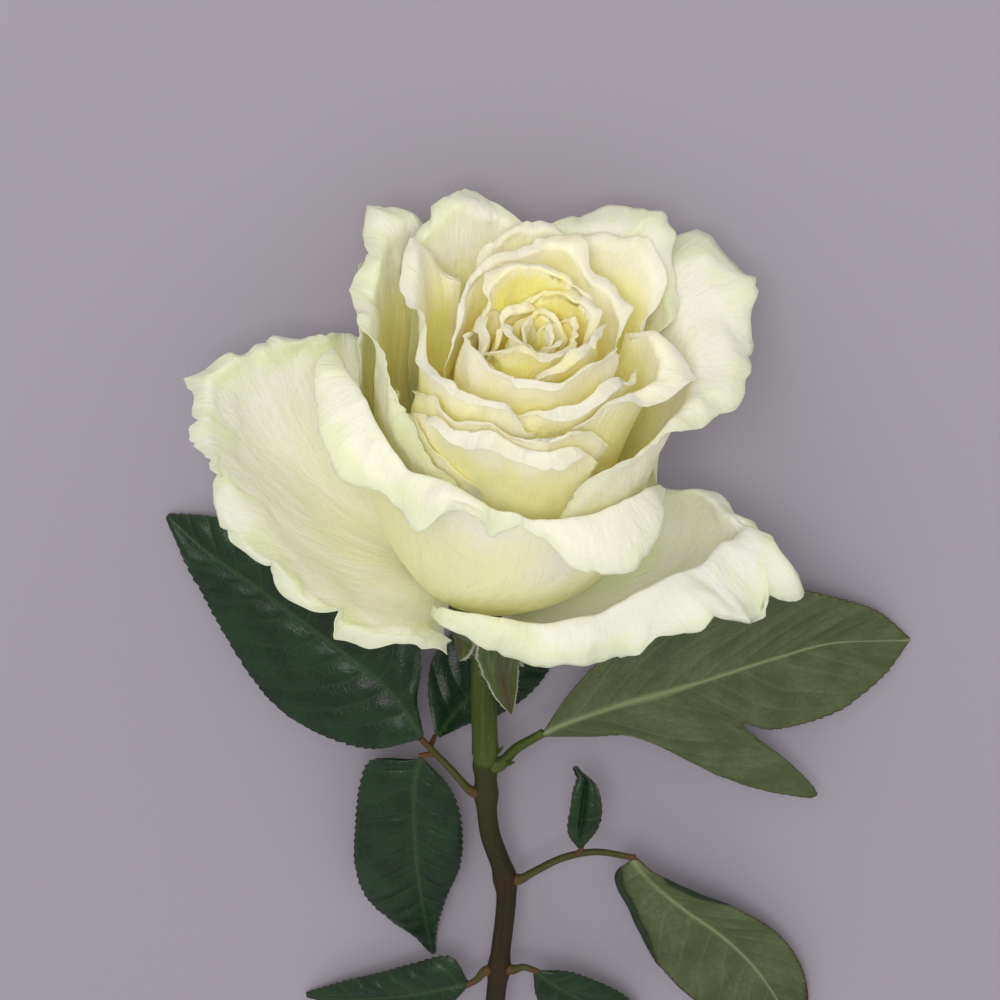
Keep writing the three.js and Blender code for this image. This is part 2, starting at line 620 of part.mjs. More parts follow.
addBlade('leaflet_lower_long', 'lower', [
  [[30, -72.8, 15], [30.7, -72.2, 15], [29.2, -73.3, 15]],
  [[33, -77, 14.5], [36, -77.5, 14.5], [27, -78, 14]],
  [[38, -82.5, 13.5], [44, -82.5, 13], [30.5, -87, 12.5]],
  [[43.5, -88, 12], [53, -87.5, 10.5], [34.5, -97, 10.5]],
  [[49.5, -93.5, 10.2], [61, -93.5, 8], [39, -106, 8]],
  [[55.5, -100.5, 7.6], [67, -101, 5.5], [46, -114.5, 5.5]],
  [[60.5, -108, 5], [70.5, -109.5, 3.5], [54, -120, 3.2]],
  [[65, -116.5, 2.6], [71.5, -118, 1.8], [62.5, -124, 1.6]],
  [[69, -126.5, 0.6], [69.7, -126, 0.6], [68.4, -126.7, 0.6]],
], LEAF_UNDER);

addBlade('leaflet_foot_left', 'foot', [
  [[-6, -106.2, 12.2], [-6, -106.9, 12.2], [-6, -105.5, 12.2]],
  [[-11, -107.6, 11.8], [-10, -112.5, 11], [-10, -99.5, 11.8]],
  [[-17, -110, 10.3], [-14.5, -118, 9], [-18.5, -102.5, 9.8]],
  [[-24.5, -112.5, 7.8], [-21.5, -121.5, 6.3], [-27, -106.5, 7.5]],
  [[-32, -114.5, 5], [-30, -121.5, 4], [-34, -109.8, 5]],
  [[-38, -115.8, 2.7], [-37, -119, 2.2], [-39.5, -113, 2.7]],
  [[-43.5, -116.2, 0.6], [-43.4, -116.9, 0.6], [-43.5, -115.5, 0.6]],
], LEAF_TOP);

addBlade('leaflet_foot_right', 'foot', [
  [[9, -102.8, 12.8], [9.6, -102.3, 12.8], [8.5, -103.3, 12.8]],
  [[13, -106.5, 12], [16.5, -103.5, 11.5], [9.5, -110.5, 11.5]],
  [[18.5, -111, 10], [23.5, -107.5, 9.5], [14, -116.5, 9.5]],
  [[24, -116, 7.6], [29.5, -112.5, 7.1], [19.5, -122, 7.1]],
  [[29, -121, 4.4], [33, -118.5, 4.2], [26, -125.5, 4.2]],
  [[33.5, -126, 0.6], [34, -125.5, 0.6], [33, -126.4, 0.6]],
], LEAF_TOP);

// Leaf stalks run from just off the stem to just short of the blades they carry. A line that starts with
// 'stem' leaves the stem; the others branch from it.
function addPetiole(name, node, lines, color) {
  const shift = nodeShift(node);
  const at = nodePlace(node);
  const reach = (STEM_DIAMETER / 2) * NODE_SWELL + 0.25 * PETIOLE_DIAMETER + CLEARANCE;
  const rods = lines.map((line) => {
    const places = line.filter((p) => p !== 'stem').map(([x, y, z]) => [LEAF * x + shift.x, LEAF * y + shift.y, z]);
    const out = new THREE.Vector3(...places[0]).sub(at);
    const start = at.clone().addScaledVector(out.setY(0.35 * out.y).normalize(), reach);
    return rod(line[0] === 'stem' ? [start.toArray(), ...places] : places, PETIOLE_DIAMETER, 7, 8);
  });
  add(name, rods.length > 1 ? joined(rods) : rods[0], color, 0.65);
}

addPetiole('petiole_right', 'right', [['stem', [4.4, -45.4, 17.6], [9.2, -41.6, 18.9]]], STALK_GREEN);
addPetiole('petiole_left', 'left', [
  ['stem', [-9, -50.5, 17], [-13, -45.6, 17.6], [-14.6, -43.6, 17.9]],
  [[-12.4, -46.4, 17.5], [-13.8, -46.6, 17.3], [-14.7, -46.8, 17.2]],
  [[-13.6, -44.9, 17.7], [-13.2, -44.5, 16.5], [-12.9, -44.1, 15.6]],
], PETIOLE_RED);
addPetiole('petiole_lower', 'lower', [
  ['stem', [9, -76, 14.4], [15, -72, 15.8], [22, -70.6, 15.8], [29.4, -72.2, 15.1]],
  [[17.2, -71.4, 15.9], [18, -70.6, 16.5], [18.4, -69.8, 16.9]],
], PETIOLE_RED);
addPetiole('petiole_foot_left', 'foot', [['stem', [-4.2, -105.4, 11.9], [-5.3, -106, 12.1]]], PETIOLE_RED);
addPetiole('petiole_foot_right', 'foot', [['stem', [6.5, -101.5, 12.9], [8.4, -102.2, 12.9]]], PETIOLE_RED);

// ---- Prickles on the lower stem ----
const PRICKLES = [[-132, 70], [-158, 200], [-187, 330]]; // distance along Y, turn about the stem

PRICKLES.forEach(([y, turn], k) => {
  const at = stemPlace(y);
  const a = THREE.MathUtils.degToRad(turn);
  const out = new THREE.Vector3(Math.cos(a), -0.35, Math.abs(Math.sin(a))).normalize();
  const cone = new THREE.ConeGeometry(0.9, 4, 8);
  cone.applyQuaternion(new THREE.Quaternion().setFromUnitVectors(new THREE.Vector3(0, 1, 0), out));
  const reach = STEM_DIAMETER / 2 + CLEARANCE + 2.5;
  cone.translate(at.x + reach * out.x, at.y + reach * out.y, at.z + reach * out.z);
  add(`prickle_${k + 1}`, cone, PETIOLE_RED, 0.6);
});

// ---- Put the origin under the middle of the whole rose ----
const box = new THREE.Box3().setFromObject(group);
const middle = box.getCenter(new THREE.Vector3());
group.position.set(-middle.x, -middle.y, -box.min.z);

export default group;
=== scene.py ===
import math

import bpy
import numpy as np
from mathutils import Matrix, Vector


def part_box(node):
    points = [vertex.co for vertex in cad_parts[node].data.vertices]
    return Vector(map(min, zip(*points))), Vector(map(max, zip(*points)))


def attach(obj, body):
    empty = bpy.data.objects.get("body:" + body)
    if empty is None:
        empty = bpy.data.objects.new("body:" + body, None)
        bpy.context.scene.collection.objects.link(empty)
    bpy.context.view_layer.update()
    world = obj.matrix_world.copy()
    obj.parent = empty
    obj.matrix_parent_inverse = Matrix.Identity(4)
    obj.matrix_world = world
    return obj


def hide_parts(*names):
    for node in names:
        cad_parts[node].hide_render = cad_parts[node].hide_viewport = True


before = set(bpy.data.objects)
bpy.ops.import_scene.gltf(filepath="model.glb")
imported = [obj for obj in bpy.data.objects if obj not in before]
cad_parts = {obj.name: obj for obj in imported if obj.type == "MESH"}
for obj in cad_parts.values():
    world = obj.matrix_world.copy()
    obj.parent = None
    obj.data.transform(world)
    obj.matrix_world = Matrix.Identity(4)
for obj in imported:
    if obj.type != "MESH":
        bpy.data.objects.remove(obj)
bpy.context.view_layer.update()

# A cut white rose lying on a table. Shapes are laid out in millimetres about the bloom's seat and
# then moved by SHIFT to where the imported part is; MM turns them into metres.
MM = 0.001
SEAT = np.array([0.0, 0.0, 26.0])
SEAT_BOX_LOW = np.array([-7.7133, -9.8517, 17.4600])
SHIFT = np.array(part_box("petal_seat")[0]) / MM - SEAT_BOX_LOW

RISE = math.radians(23.2)
YAW = math.radians(7.15)
AXIS = np.array([math.cos(RISE) * math.sin(YAW), math.cos(RISE) * math.cos(YAW), math.sin(RISE)])
RIGHT = np.array([1.0, 0, 0]) - AXIS * AXIS[0]
RIGHT /= np.linalg.norm(RIGHT)
BACK = np.cross(AXIS, RIGHT)

PETAL_THICK = 0.42
LEAF_THICK = 0.42


# ---- Numbers ----
def smooth(x, low=0.0, high=1.0):
    f = np.clip((np.asarray(x, float) - low) / (high - low), 0, 1)
    return f * f * (3 - 2 * f)


def noise1(x, seed, corners=0.0):
    """A random line between -1 and 1, with one bump for each unit. corners turns round bumps into folds."""
    values = np.random.default_rng(seed).uniform(-1, 1, 256)
    x = np.asarray(x, float)
    i = np.floor(x).astype(int)
    f = (1 - corners) * smooth(x - i) + corners * (x - i)
    return values[i % 256] * (1 - f) + values[(i + 1) % 256] * f


def noise2(x, y, seed):
    values = np.random.default_rng(seed).uniform(-1, 1, (64, 64))
    x, y = np.broadcast_arrays(np.asarray(x, float), np.asarray(y, float))
    i, j = np.floor(x).astype(int), np.floor(y).astype(int)
    f, g = smooth(x - i), smooth(y - j)
    at = lambda a, b: values[(i + a) % 64, (j + b) % 64]
    return (at(0, 0) * (1 - f) + at(1, 0) * f) * (1 - g) + (at(0, 1) * (1 - f) + at(1, 1) * f) * g


def drift(points, pitch, seed):
    """A smooth random push for every place, so that neighbours move together and never cross."""
    values = np.random.default_rng(seed).uniform(-1, 1, (16, 16, 16, 3))
    place = points / pitch + 40
    cell = np.floor(place).astype(int)
    share = smooth(place - cell)
    push = 0
    for corner in np.ndindex(2, 2, 2):
        i, j, k = np.moveaxis((cell + corner) % 16, -1, 0)
        weight = np.prod(np.where(np.array(corner), share, 1 - share), axis=-1)
        push = push + values[i, j, k] * weight[..., None]
    return push


def between(rows, x):
    """Catmull-Rom through rows of numbers, with x from 0 to 1 across all the rows."""
    rows = np.asarray(rows, float)
    last = len(rows) - 1
    place = np.clip(x, 0, 1) * last
    i = np.minimum(np.floor(place).astype(int), last - 1)
    f = (place - i)[..., None]
    padded = np.vstack([2 * rows[0] - rows[1], rows, 2 * rows[-1] - rows[-2]])
    a, b, c, d = (padded[i + k] for k in range(4))
    m0, m1, step = (c - a) / 2, (d - b) / 2, c - b
    return b + f * (m0 + f * (3 * step - 2 * m0 - m1 + f * (m0 + m1 - 2 * step)))


def curve(places, count):
    """Centripetal Catmull-Rom through places, as count points evenly spread by length."""
    p = np.asarray(places, float)
    p = np.vstack([2 * p[0] - p[1], p, 2 * p[-1] - p[-2]])
    fine = []
    for k in range(1, len(p) - 2):
        x0, x1, x2, x3 = p[k - 1:k + 3]
        pairs = ((x0, x1), (x1, x2), (x2, x3))
        d0, d1, d2 = (max(np.linalg.norm(b - a) ** 0.5, 1e-4) for a, b in pairs)
        t1 = ((x1 - x0) / d0 - (x2 - x0) / (d0 + d1) + (x2 - x1) / d1) * d1
        t2 = ((x2 - x1) / d1 - (x3 - x1) / (d1 + d2) + (x3 - x2) / d2) * d1
        f = np.linspace(0, 1, 40, endpoint=k == len(p) - 3)[:, None]
        bend = (3 * x2 - 3 * x1 - 2 * t1 - t2) * f**2 + (2 * x1 - 2 * x2 + t1 + t2) * f**3
        fine.append(x1 + t1 * f + bend)
    fine = np.vstack(fine)
    run = run_along(fine, 0)
    want = np.linspace(0, run[-1], count)
    return np.stack([np.interp(want, run, fine[:, k]) for k in range(3)], axis=1), want


def unit(v):
    return v / np.maximum(np.linalg.norm(v, axis=-1, keepdims=True), 1e-9)


def facing(grid):
    """The way each place of a grid faces."""
    return unit(np.cross(np.gradient(grid, axis=1), np.gradient(grid, axis=0)))


def run_along(grid, axis):
    """Length walked along one axis of a grid of points."""
    steps = np.linalg.norm(np.diff(grid, axis=axis), axis=-1)
    walked = np.cumsum(steps, axis=axis)
    zero = np.zeros_like(np.take(walked, [0], axis=axis))
    return np.concatenate([zero, walked], axis=axis)


# ---- Meshes ----
class Shell:
    """Points, faces and per-point values of a piece as it is put together."""

    def __init__(self):
        self.points, self.faces, self.smooth, self.values, self.count = [], [], [], {}, 0

    def put(self, points, faces, values, flat=()):
        """flat lists the groups of faces that are not shaded smooth, such as a sheet's thin wall."""
        self.points.append(points)
        self.faces.extend((np.asarray(f) + self.count) for f in faces)
        self.smooth.extend(np.full(len(f), k not in flat) for k, f in enumerate(faces))
        for key in set(values) | set(self.values):
            wide = 3 if key == "mm" else 1
            if key not in self.values:
                self.values[key] = [np.zeros((self.count, wide))]
            given = values.get(key, np.zeros((len(points), wide)))
            self.values[key].append(np.asarray(given, float).reshape(-1, wide))
        self.count += len(points)

    def piece(self, name, material):
        """Makes the piece that takes the place of the CAD node of the same name."""
        mesh = bpy.data.meshes.new(name)
        points = (np.vstack(self.points) + SHIFT) * MM
        sizes = np.concatenate([np.full(len(f), f.shape[1]) for f in self.faces])
        loops = np.concatenate([f.ravel() for f in self.faces])
        mesh.vertices.add(len(points))
        mesh.vertices.foreach_set("co", points.astype(np.float32).ravel())
        mesh.loops.add(len(loops))
        mesh.loops.foreach_set("vertex_index", loops.astype(np.int32))
        mesh.polygons.add(len(sizes))
        mesh.polygons.foreach_set("loop_start", (np.cumsum(sizes) - sizes).astype(np.int32))
        mesh.update(calc_edges=True)
        mesh.polygons.foreach_set("use_smooth", np.concatenate(self.smooth))
        for key, parts in self.values.items():
            vector = key == "mm"
            layer = mesh.attributes.new(key, "FLOAT_VECTOR" if vector else "FLOAT", "POINT")
            numbers = np.vstack(parts).astype(np.float32).ravel()
            layer.data.foreach_set("vector" if vector else "value", numbers)
        mesh.validate()
        mesh.materials.append(material)
        made = bpy.data.objects.new(name, mesh)
        bpy.context.collection.objects.link(made)
        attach(made, "root")
        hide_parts(name)


def grid_faces(rows, columns, offset=0, flip=False):
    j, i = np.meshgrid(np.arange(rows - 1), np.arange(columns - 1), indexing="ij")
    a = (j * columns + i).ravel() + offset
    quad = [a, a + 1, a + columns + 1, a + columns]
    return np.stack(quad[::-1] if flip else quad, axis=1)


def ring_faces(rings, sides):
    """Faces between rings of points, each ring closing on itself."""
    j, i = np.meshgrid(np.arange(rings - 1), np.arange(sides), indexing="ij")
    a, b = j * sides + i, j * sides + (i + 1) % sides
    return np.stack([a, b, b + sides, a + sides], axis=-1).reshape(-1, 4)


def add_sheet(shell, mid, front, back, values):
    """A closed sheet about the grid mid, front and back being how far each face stands off it."""
    rows, columns = mid.shape[:2]
    normal = facing(mid)
    top = mid + normal * front[..., None]
    low = mid - normal * back[..., None]
    under = rows * columns
    j, i = np.arange(rows), np.arange(columns)
    loop = np.concatenate([
        i[:-1], j[:-1] * columns + columns - 1, (rows - 1) * columns + i[:0:-1], j[:0:-1] * columns,
    ])
    ahead = np.roll(loop, -1)
    walls = np.stack([loop, loop + under, ahead + under, ahead], axis=1)
    flattened = {k: v.reshape(-1, 3) if k == "mm" else v.ravel() for k, v in values.items()}
    both = {k: np.concatenate([v, v]) for k, v in flattened.items()}
    both["front"] = np.concatenate([np.ones(under), np.zeros(under)])
    points = np.concatenate([top.reshape(-1, 3), low.reshape(-1, 3)])
    faces = [grid_faces(rows, columns), grid_faces(rows, columns, under, True), walls]
    shell.put(points, faces, both, flat=(2,))


def uneven(radius, run, sides, depth, across, along, seed):
    """A tube's radius at each place along and around it, made uneven by a share of depth."""
    turn = np.arange(sides) * 2 * math.pi / sides
    return radius[:, None] * (1 + depth * noise2(turn[None, :] * across, run[:, None] / along, seed))


def add_tube(shell, path, run, radius, joint, caps):
    """A closed tube about a path. radius is a grid of (along, around), and run the length walked.

    joint is how far each ring takes the joints' colour, and caps the same for its two ends."""
    count, sides = radius.shape
    ahead = unit(np.gradient(path, axis=0))
    side = np.cross(ahead[0], [0, 0, 1.0])
    side = unit(side if np.linalg.norm(side) > 0.1 else np.cross(ahead[0], [1.0, 0, 0]))
    turn = np.arange(sides) * 2 * math.pi / sides
    rings = []
    for k in range(count):
        side = unit(side - ahead[k] * side.dot(ahead[k]))
        up = np.cross(side, ahead[k])
        spokes = np.cos(turn)[:, None] * side + np.sin(turn)[:, None] * up
        rings.append(path[k] + radius[k][:, None] * spokes)
    points = np.vstack([*rings, path[0], path[-1]])
    m = np.arange(sides)
    last = (count - 1) * sides
    start = np.stack([m * 0 + len(points) - 2, (m + 1) % sides, m], axis=1)
    end = np.stack([m * 0 + len(points) - 1, last + m, last + (m + 1) % sides], axis=1)
    along = np.concatenate([np.repeat(run, sides), [run[0], run[-1]]])
    around = np.concatenate([np.tile(turn, count), [0, 0]])
    joint = np.concatenate([np.repeat(joint, sides), caps])
    mean = float(radius.mean())
    mm = np.stack([np.cos(around) * mean, np.sin(around) * mean, along], axis=1)
    shell.put(points, [ring_faces(count, sides), start, end], {"along": along, "mm": mm, "joint": joint})


# ---- Materials ----
class Look:
    """A Principled material and short names for its nodes."""

    def __init__(self, name, **sockets):
        self.material = bpy.data.materials.new(name)
        self.material.use_nodes = True
        self.tree = self.material.node_tree
        self.base = self.tree.nodes["Principled BSDF"]
        for key, value in sockets.items():
            self.base.inputs[key.replace("_", " ")].default_value = value

    def node(self, kind, out=0, inputs=None, **settings):
        made = self.tree.nodes.new("ShaderNode" + kind)
        for key, value in settings.items():
            setattr(made, key, value)
        for key, value in (inputs or {}).items():
            if isinstance(value, bpy.types.NodeSocket):
                self.tree.links.new(value, made.inputs[key])
            else:
                made.inputs[key].default_value = value
        return made.outputs[out]

    def value(self, name):
        return self.node("Attribute", out=2, attribute_name=name)

    def place(self, stretch):
        found = self.node("Attribute", out=1, attribute_name="mm")
        return self.node("VectorMath", inputs={0: found, 1: stretch}, operation="MULTIPLY")

    def math(self, operation, a, b):
        return self.node("Math", inputs={0: a, 1: b}, operation=operation)

    def times(self, a, b):
        return self.math("MULTIPLY", a, b)

    def plus(self, a, b):
        return self.math("ADD", a, b)

    def ramp(self, x, low, high, out_low=0.0, out_high=1.0):
        inputs = {0: x, 1: low, 2: high, 3: out_low, 4: out_high}
        return self.node("MapRange", inputs=inputs, interpolation_type="SMOOTHSTEP")

    def noise(self, stretch, detail, rough=0.55):
        inputs = {"Vector": self.place(stretch), "Scale": 1.0, "Detail": detail, "Roughness": rough}
        return self.node("TexNoise", inputs=inputs)

    def cells(self, scale, stretch=(1, 1, 1), feature="DISTANCE_TO_EDGE"):
        inputs = {"Vector": self.place(stretch), "Scale": scale}
        return self.node("TexVoronoi", inputs=inputs, feature=feature)

    def mix(self, factor, a, b):
        a = (*a, 1) if isinstance(a, tuple) else a
        b = (*b, 1) if isinstance(b, tuple) else b
        return self.node("Mix", out=2, inputs={0: factor, 6: a, 7: b}, data_type="RGBA")

    def layers(self, color, *tints):
        """Lays tints over a colour, each one given as its mask, its strength and its colour."""
        for mask, share, tint in tints:
            color = self.mix(self.times(mask, share), color, tint)
        return color

    def bump(self, height, distance, strength, under=None):
        inputs = {"Height": height, "Distance": distance * MM, "Strength": strength}
        if under is not None:
            inputs["Normal"] = under
        return self.node("Bump", inputs=inputs)

    def finish(self, color, rough, normal):
        for key, value in (("Base Color", color), ("Roughness", rough), ("Normal", normal)):
            self.tree.links.new(value, self.base.inputs[key])
        return self.material


DRY_RIM = (0.62, 0.5, 0.34)


def petal_look(name, cream, deep, margin, margin_share, margin_wide, deep_from, deep_to, deep_share):
    """Waxy petal: yellow in the depths, partly its own yellow base and partly painted light for the glow
    through the cupped petals, a tinted margin, and veins that fan out from the claw.

    The margin's tint reaches margin_wide in from the edge; the depths' yellow comes in from
    deep_from to deep_to below the crest. Lengths are in millimetres."""
    look = Look(
        name, Subsurface_Weight=0.65, Subsurface_Scale=0.0016, Specular_IOR_Level=0.35, Sheen_Weight=0.05,
    )
    look.base.inputs["Subsurface Radius"].default_value = (1.0, 1.0, 0.92)
    veins = look.noise((1.15, 0.05, 1), 4.0, 0.6)
    cloud = look.noise((0.09, 0.06, 1), 2.0)
    grain = look.noise((3.4, 2.2, 1), 2.0)
    # Painted light: the yellow that deepens below the crest is partly the petal's own yellow base and partly
    # a painted glow, standing in for light that shines through and between the cupped petals.
    below = look.plus(look.value("deep"), look.ramp(cloud, 0.3, 0.7, -4, 4))
    depth = look.ramp(below, deep_from, deep_to)
    inside = look.ramp(look.value("front"), 0, 1, 1.0, 0.85)
    depth = look.times(look.times(depth, inside), deep_share)
    color = look.mix(depth, cream, deep)
    color = look.mix(look.ramp(cloud, 0.42, 0.72, 0, 0.22), color, margin)
    veined = look.ramp(veins, 0.5, 0.72, 0, 0.3)
    color = look.mix(veined, color, tuple(c * k for c, k in zip(margin, (0.93, 0.97, 0.86))))
    away = look.plus(look.value("edge"), look.ramp(cloud, 0.32, 0.68, -5, 5))
    near = look.ramp(away, 0.2, margin_wide, margin_share, 0)
    color = look.mix(near, color, margin)
    rim = look.ramp(look.value("edge"), 0.1, 0.7, 1, 0)
    rim = look.times(rim, look.ramp(cloud, 0.52, 0.66, 0, 0.45))
    color = look.mix(rim, color, DRY_RIM)
    rough = look.ramp(grain, 0.3, 0.7, 0.46, 0.6)
    crepe = look.noise((0.9, 0.4, 1), 4.0, 0.62)
    normal = look.bump(veins, 0.2, 0.7)
    normal = look.bump(crepe, 0.6, 0.6, normal)
    normal = look.bump(grain, 0.03, 0.5, normal)
    return look.finish(color, rough, normal)


def leaf_look(name):
    """A glossy dark top with sunken veins over a matt olive underside with a pale raised network."""
    look = Look(name, Subsurface_Weight=0.04, Subsurface_Scale=0.001, Specular_IOR_Level=0.32)
    under = look.value("under")
    vein = look.value("vein")
    rib = look.value("rib")
    cloud = look.noise((0.12, 0.12, 1), 3.0)
    grain = look.noise((2.5, 2.5, 1), 3.0)
    net = look.ramp(look.cells(0.55), 0.0, 0.09, 1, 0)
    fine = look.ramp(look.cells(1.7), 0.0, 0.16, 1, 0)
    top = look.mix(look.ramp(cloud, 0.35, 0.7), (0.003, 0.015, 0.004), (0.006, 0.030, 0.008))
    top = look.layers(
        top, (net, 0.3, (0.016, 0.044, 0.018)), (vein, 0.5, (0.020, 0.052, 0.018)),
        (rib, 0.45, (0.040, 0.080, 0.028)),
    )
    low = look.mix(look.ramp(cloud, 0.38, 0.64), (0.060, 0.080, 0.028), (0.090, 0.115, 0.048))
    low = look.layers(
        low, (fine, 0.3, (0.055, 0.072, 0.028)), (net, 0.5, (0.045, 0.060, 0.022)),
        (vein, 0.3, (0.14, 0.175, 0.08)), (rib, 0.85, (0.22, 0.26, 0.12)),
    )
    color = look.mix(under, top, low)
    rim = look.ramp(look.value("edge"), 0.1, 0.45, 0.85, 0)
    rim = look.times(rim, look.ramp(under, 0, 1, 0.4, 1))
    color = look.mix(rim, color, (0.055, 0.022, 0.016))
    rough = look.ramp(under, 0, 1, 0.32, 0.62)
    rough = look.plus(rough, look.ramp(grain, 0.3, 0.7, -0.05, 0.07))
    side = look.ramp(under, 0, 1, -1, 1)
    height = look.times(look.plus(net, look.times(fine, 0.5)), side)
    normal = look.bump(height, 0.07, 0.4)
    normal = look.bump(grain, 0.02, 0.4, normal)
    return look.finish(color, rough, normal)


PITH, WOOD, BARK = (0.62, 0.62, 0.40), (0.40, 0.46, 0.22), (0.13, 0.19, 0.07)


def bark_look(name, colors, speck, rough_low, rough_high, top=None):
    """Green or brown skin of a stem: long streaks, a change of colour along it and small pale pores.

    colors are two clouded shades, the streaks and the joints; top is the shade of the upper end."""
    look = Look(name, Subsurface_Weight=0.05, Subsurface_Scale=0.001, Specular_IOR_Level=0.14)
    streak = look.noise((1.6, 1.6, 0.07), 4.0, 0.6)
    cloud = look.noise((0.3, 0.3, 0.05), 2.0)
    grain = look.noise((2.4, 2.4, 1.2), 3.0)
    color = look.mix(look.ramp(cloud, 0.36, 0.64), colors[0], colors[1])
    color = look.mix(look.ramp(streak, 0.45, 0.72, 0, 0.6), color, colors[2])
    pores = look.ramp(look.cells(0.85, (1, 1, 0.45), "F1"), 0.0, 0.17, 1, 0)
    color = look.layers(color, (pores, 0.5, speck), (look.value("joint"), 0.65, colors[3]))
    if top:
        color = look.mix(look.ramp(look.value("along"), 2, 34, 0.85, 0), color, top)
    cut = look.value("cut")
    wood = look.mix(look.ramp(look.value("heartwood"), 0.35, 0.5), PITH, WOOD)
    rings = look.mix(look.ramp(look.value("heartwood"), 0.82, 0.9), wood, BARK)
    color = look.mix(cut, color, rings)
    rough = look.ramp(grain, 0.3, 0.7, rough_low, rough_high)
    height = look.plus(streak, look.times(pores, 0.6))
    normal = look.bump(height, 0.2, 0.55)
    normal = look.bump(grain, 0.05, 0.5, normal)
    return look.finish(color, rough, normal)


def sepal_look(name):
    """Streaked green with a purple rib and a pale downy margin."""
    look = Look(
        name, Subsurface_Weight=0.08, Subsurface_Scale=0.001, Specular_IOR_Level=0.2, Sheen_Weight=0.1,
    )
    streak = look.noise((1.4, 0.1, 1), 4.0, 0.6)
    grain = look.noise((3, 3, 3), 2.0)
    color = look.mix(look.ramp(streak, 0.35, 0.7), (0.045, 0.075, 0.014), (0.095, 0.135, 0.035))
    color = look.mix(look.times(look.value("rib"), 0.7), color, (0.060, 0.022, 0.022))
    color = look.mix(look.ramp(look.value("edge"), 0.15, 0.7, 0.8, 0), color, (0.50, 0.50, 0.40))
    color = look.mix(look.value("hair"), color, (0.72, 0.72, 0.62))
    rough = look.ramp(grain, 0.3, 0.7, 0.55, 0.75)
    normal = look.bump(streak, 0.2, 0.6)
    normal = look.bump(grain, 0.05, 0.5, normal)
    return look.finish(color, rough, normal)


CREAM = (0.985, 0.95, 0.67)
YELLOW = (0.998, 0.94, 0.40)
PALE_GREEN = (0.75, 0.84, 0.47)

HEART_LOOK = petal_look(
    "heart petal", (0.995, 0.945, 0.54), (0.998, 0.92, 0.28), (0.98, 0.955, 0.74), 0.6, 2.2, 0, 5, 1.0,
)
CUP_LOOK = petal_look(
    "petal", CREAM, YELLOW, (0.95, 0.945, 0.78), 0.55, 3.5, 0, 10, 1.0,
)
OUTER_LOOK = petal_look(
    "outer petal", (0.90, 0.875, 0.72), YELLOW, (0.77, 0.85, 0.50), 0.85, 9, 3, 20, 0.85,
)
GUARD_LOOK = petal_look(
    "guard petal", (0.89, 0.885, 0.77), (0.94, 0.90, 0.56), PALE_GREEN, 0.8, 10, 12, 45, 0.75,
)
OUTER_PETALS = (
    "petal_left", "petal_right", "petal_front", "petal_left_peek", "petal_back_left", "petal_back_outer",
)
LEAF_LOOK = leaf_look("leaf")
SEPAL_LOOK = sepal_look("sepal")
STALK_LOOK = bark_look(
    "flower stalk",
    ((0.038, 0.058, 0.009), (0.055, 0.078, 0.014), (0.075, 0.10, 0.025), (0.075, 0.10, 0.025)),
    (0.20, 0.24, 0.10), 0.4, 0.56,
)
STEM_LOOK = bark_look(
    "stem",
    ((0.020, 0.018, 0.008), (0.027, 0.015, 0.010), (0.036, 0.030, 0.015), (0.038, 0.017, 0.011)),
    (0.11, 0.085, 0.055), 0.4, 0.6, (0.034, 0.040, 0.012),
)
PETIOLE_LOOK = bark_look(
    "leaf stalk",
    ((0.042, 0.054, 0.013), (0.055, 0.042, 0.017), (0.075, 0.085, 0.028), (0.115, 0.034, 0.022)),
    (0.17, 0.16, 0.09), 0.42, 0.6,
)


# ---- Petals ----
SEAT_TOP = (1.3, 6.0)
SEAT_RIM = (7.4, -2.6)
CLAW_HALF_WIDTH = 2.6
BELLY_LOW, BELLY_HIGH = 2.2, 31.0


def bloom_place(turn, r, w):
    """A place round the bloom's axis: turn in degrees, r away from the axis and w up it."""
    a = np.radians(turn)
    across, deep = r * np.cos(a), r * np.sin(a)
    wander = np.minimum(1, np.hypot(r, w) / 30)
    da = wander * (0.8 * np.sin(0.13 * w + 0.07 * deep) + 0.5 * np.sin(0.19 * deep + 1.1))
    dd = wander * (0.8 * np.sin(0.12 * w - 0.08 * across + 2) + 0.4 * np.sin(0.2 * across))
    dw = wander * 0.8 * np.sin(0.12 * across + 0.1 * deep + 0.5)
    place = SEAT + (across + da)[..., None] * RIGHT + (deep + dd)[..., None] * BACK
    return place + (w + dw)[..., None] * AXIS


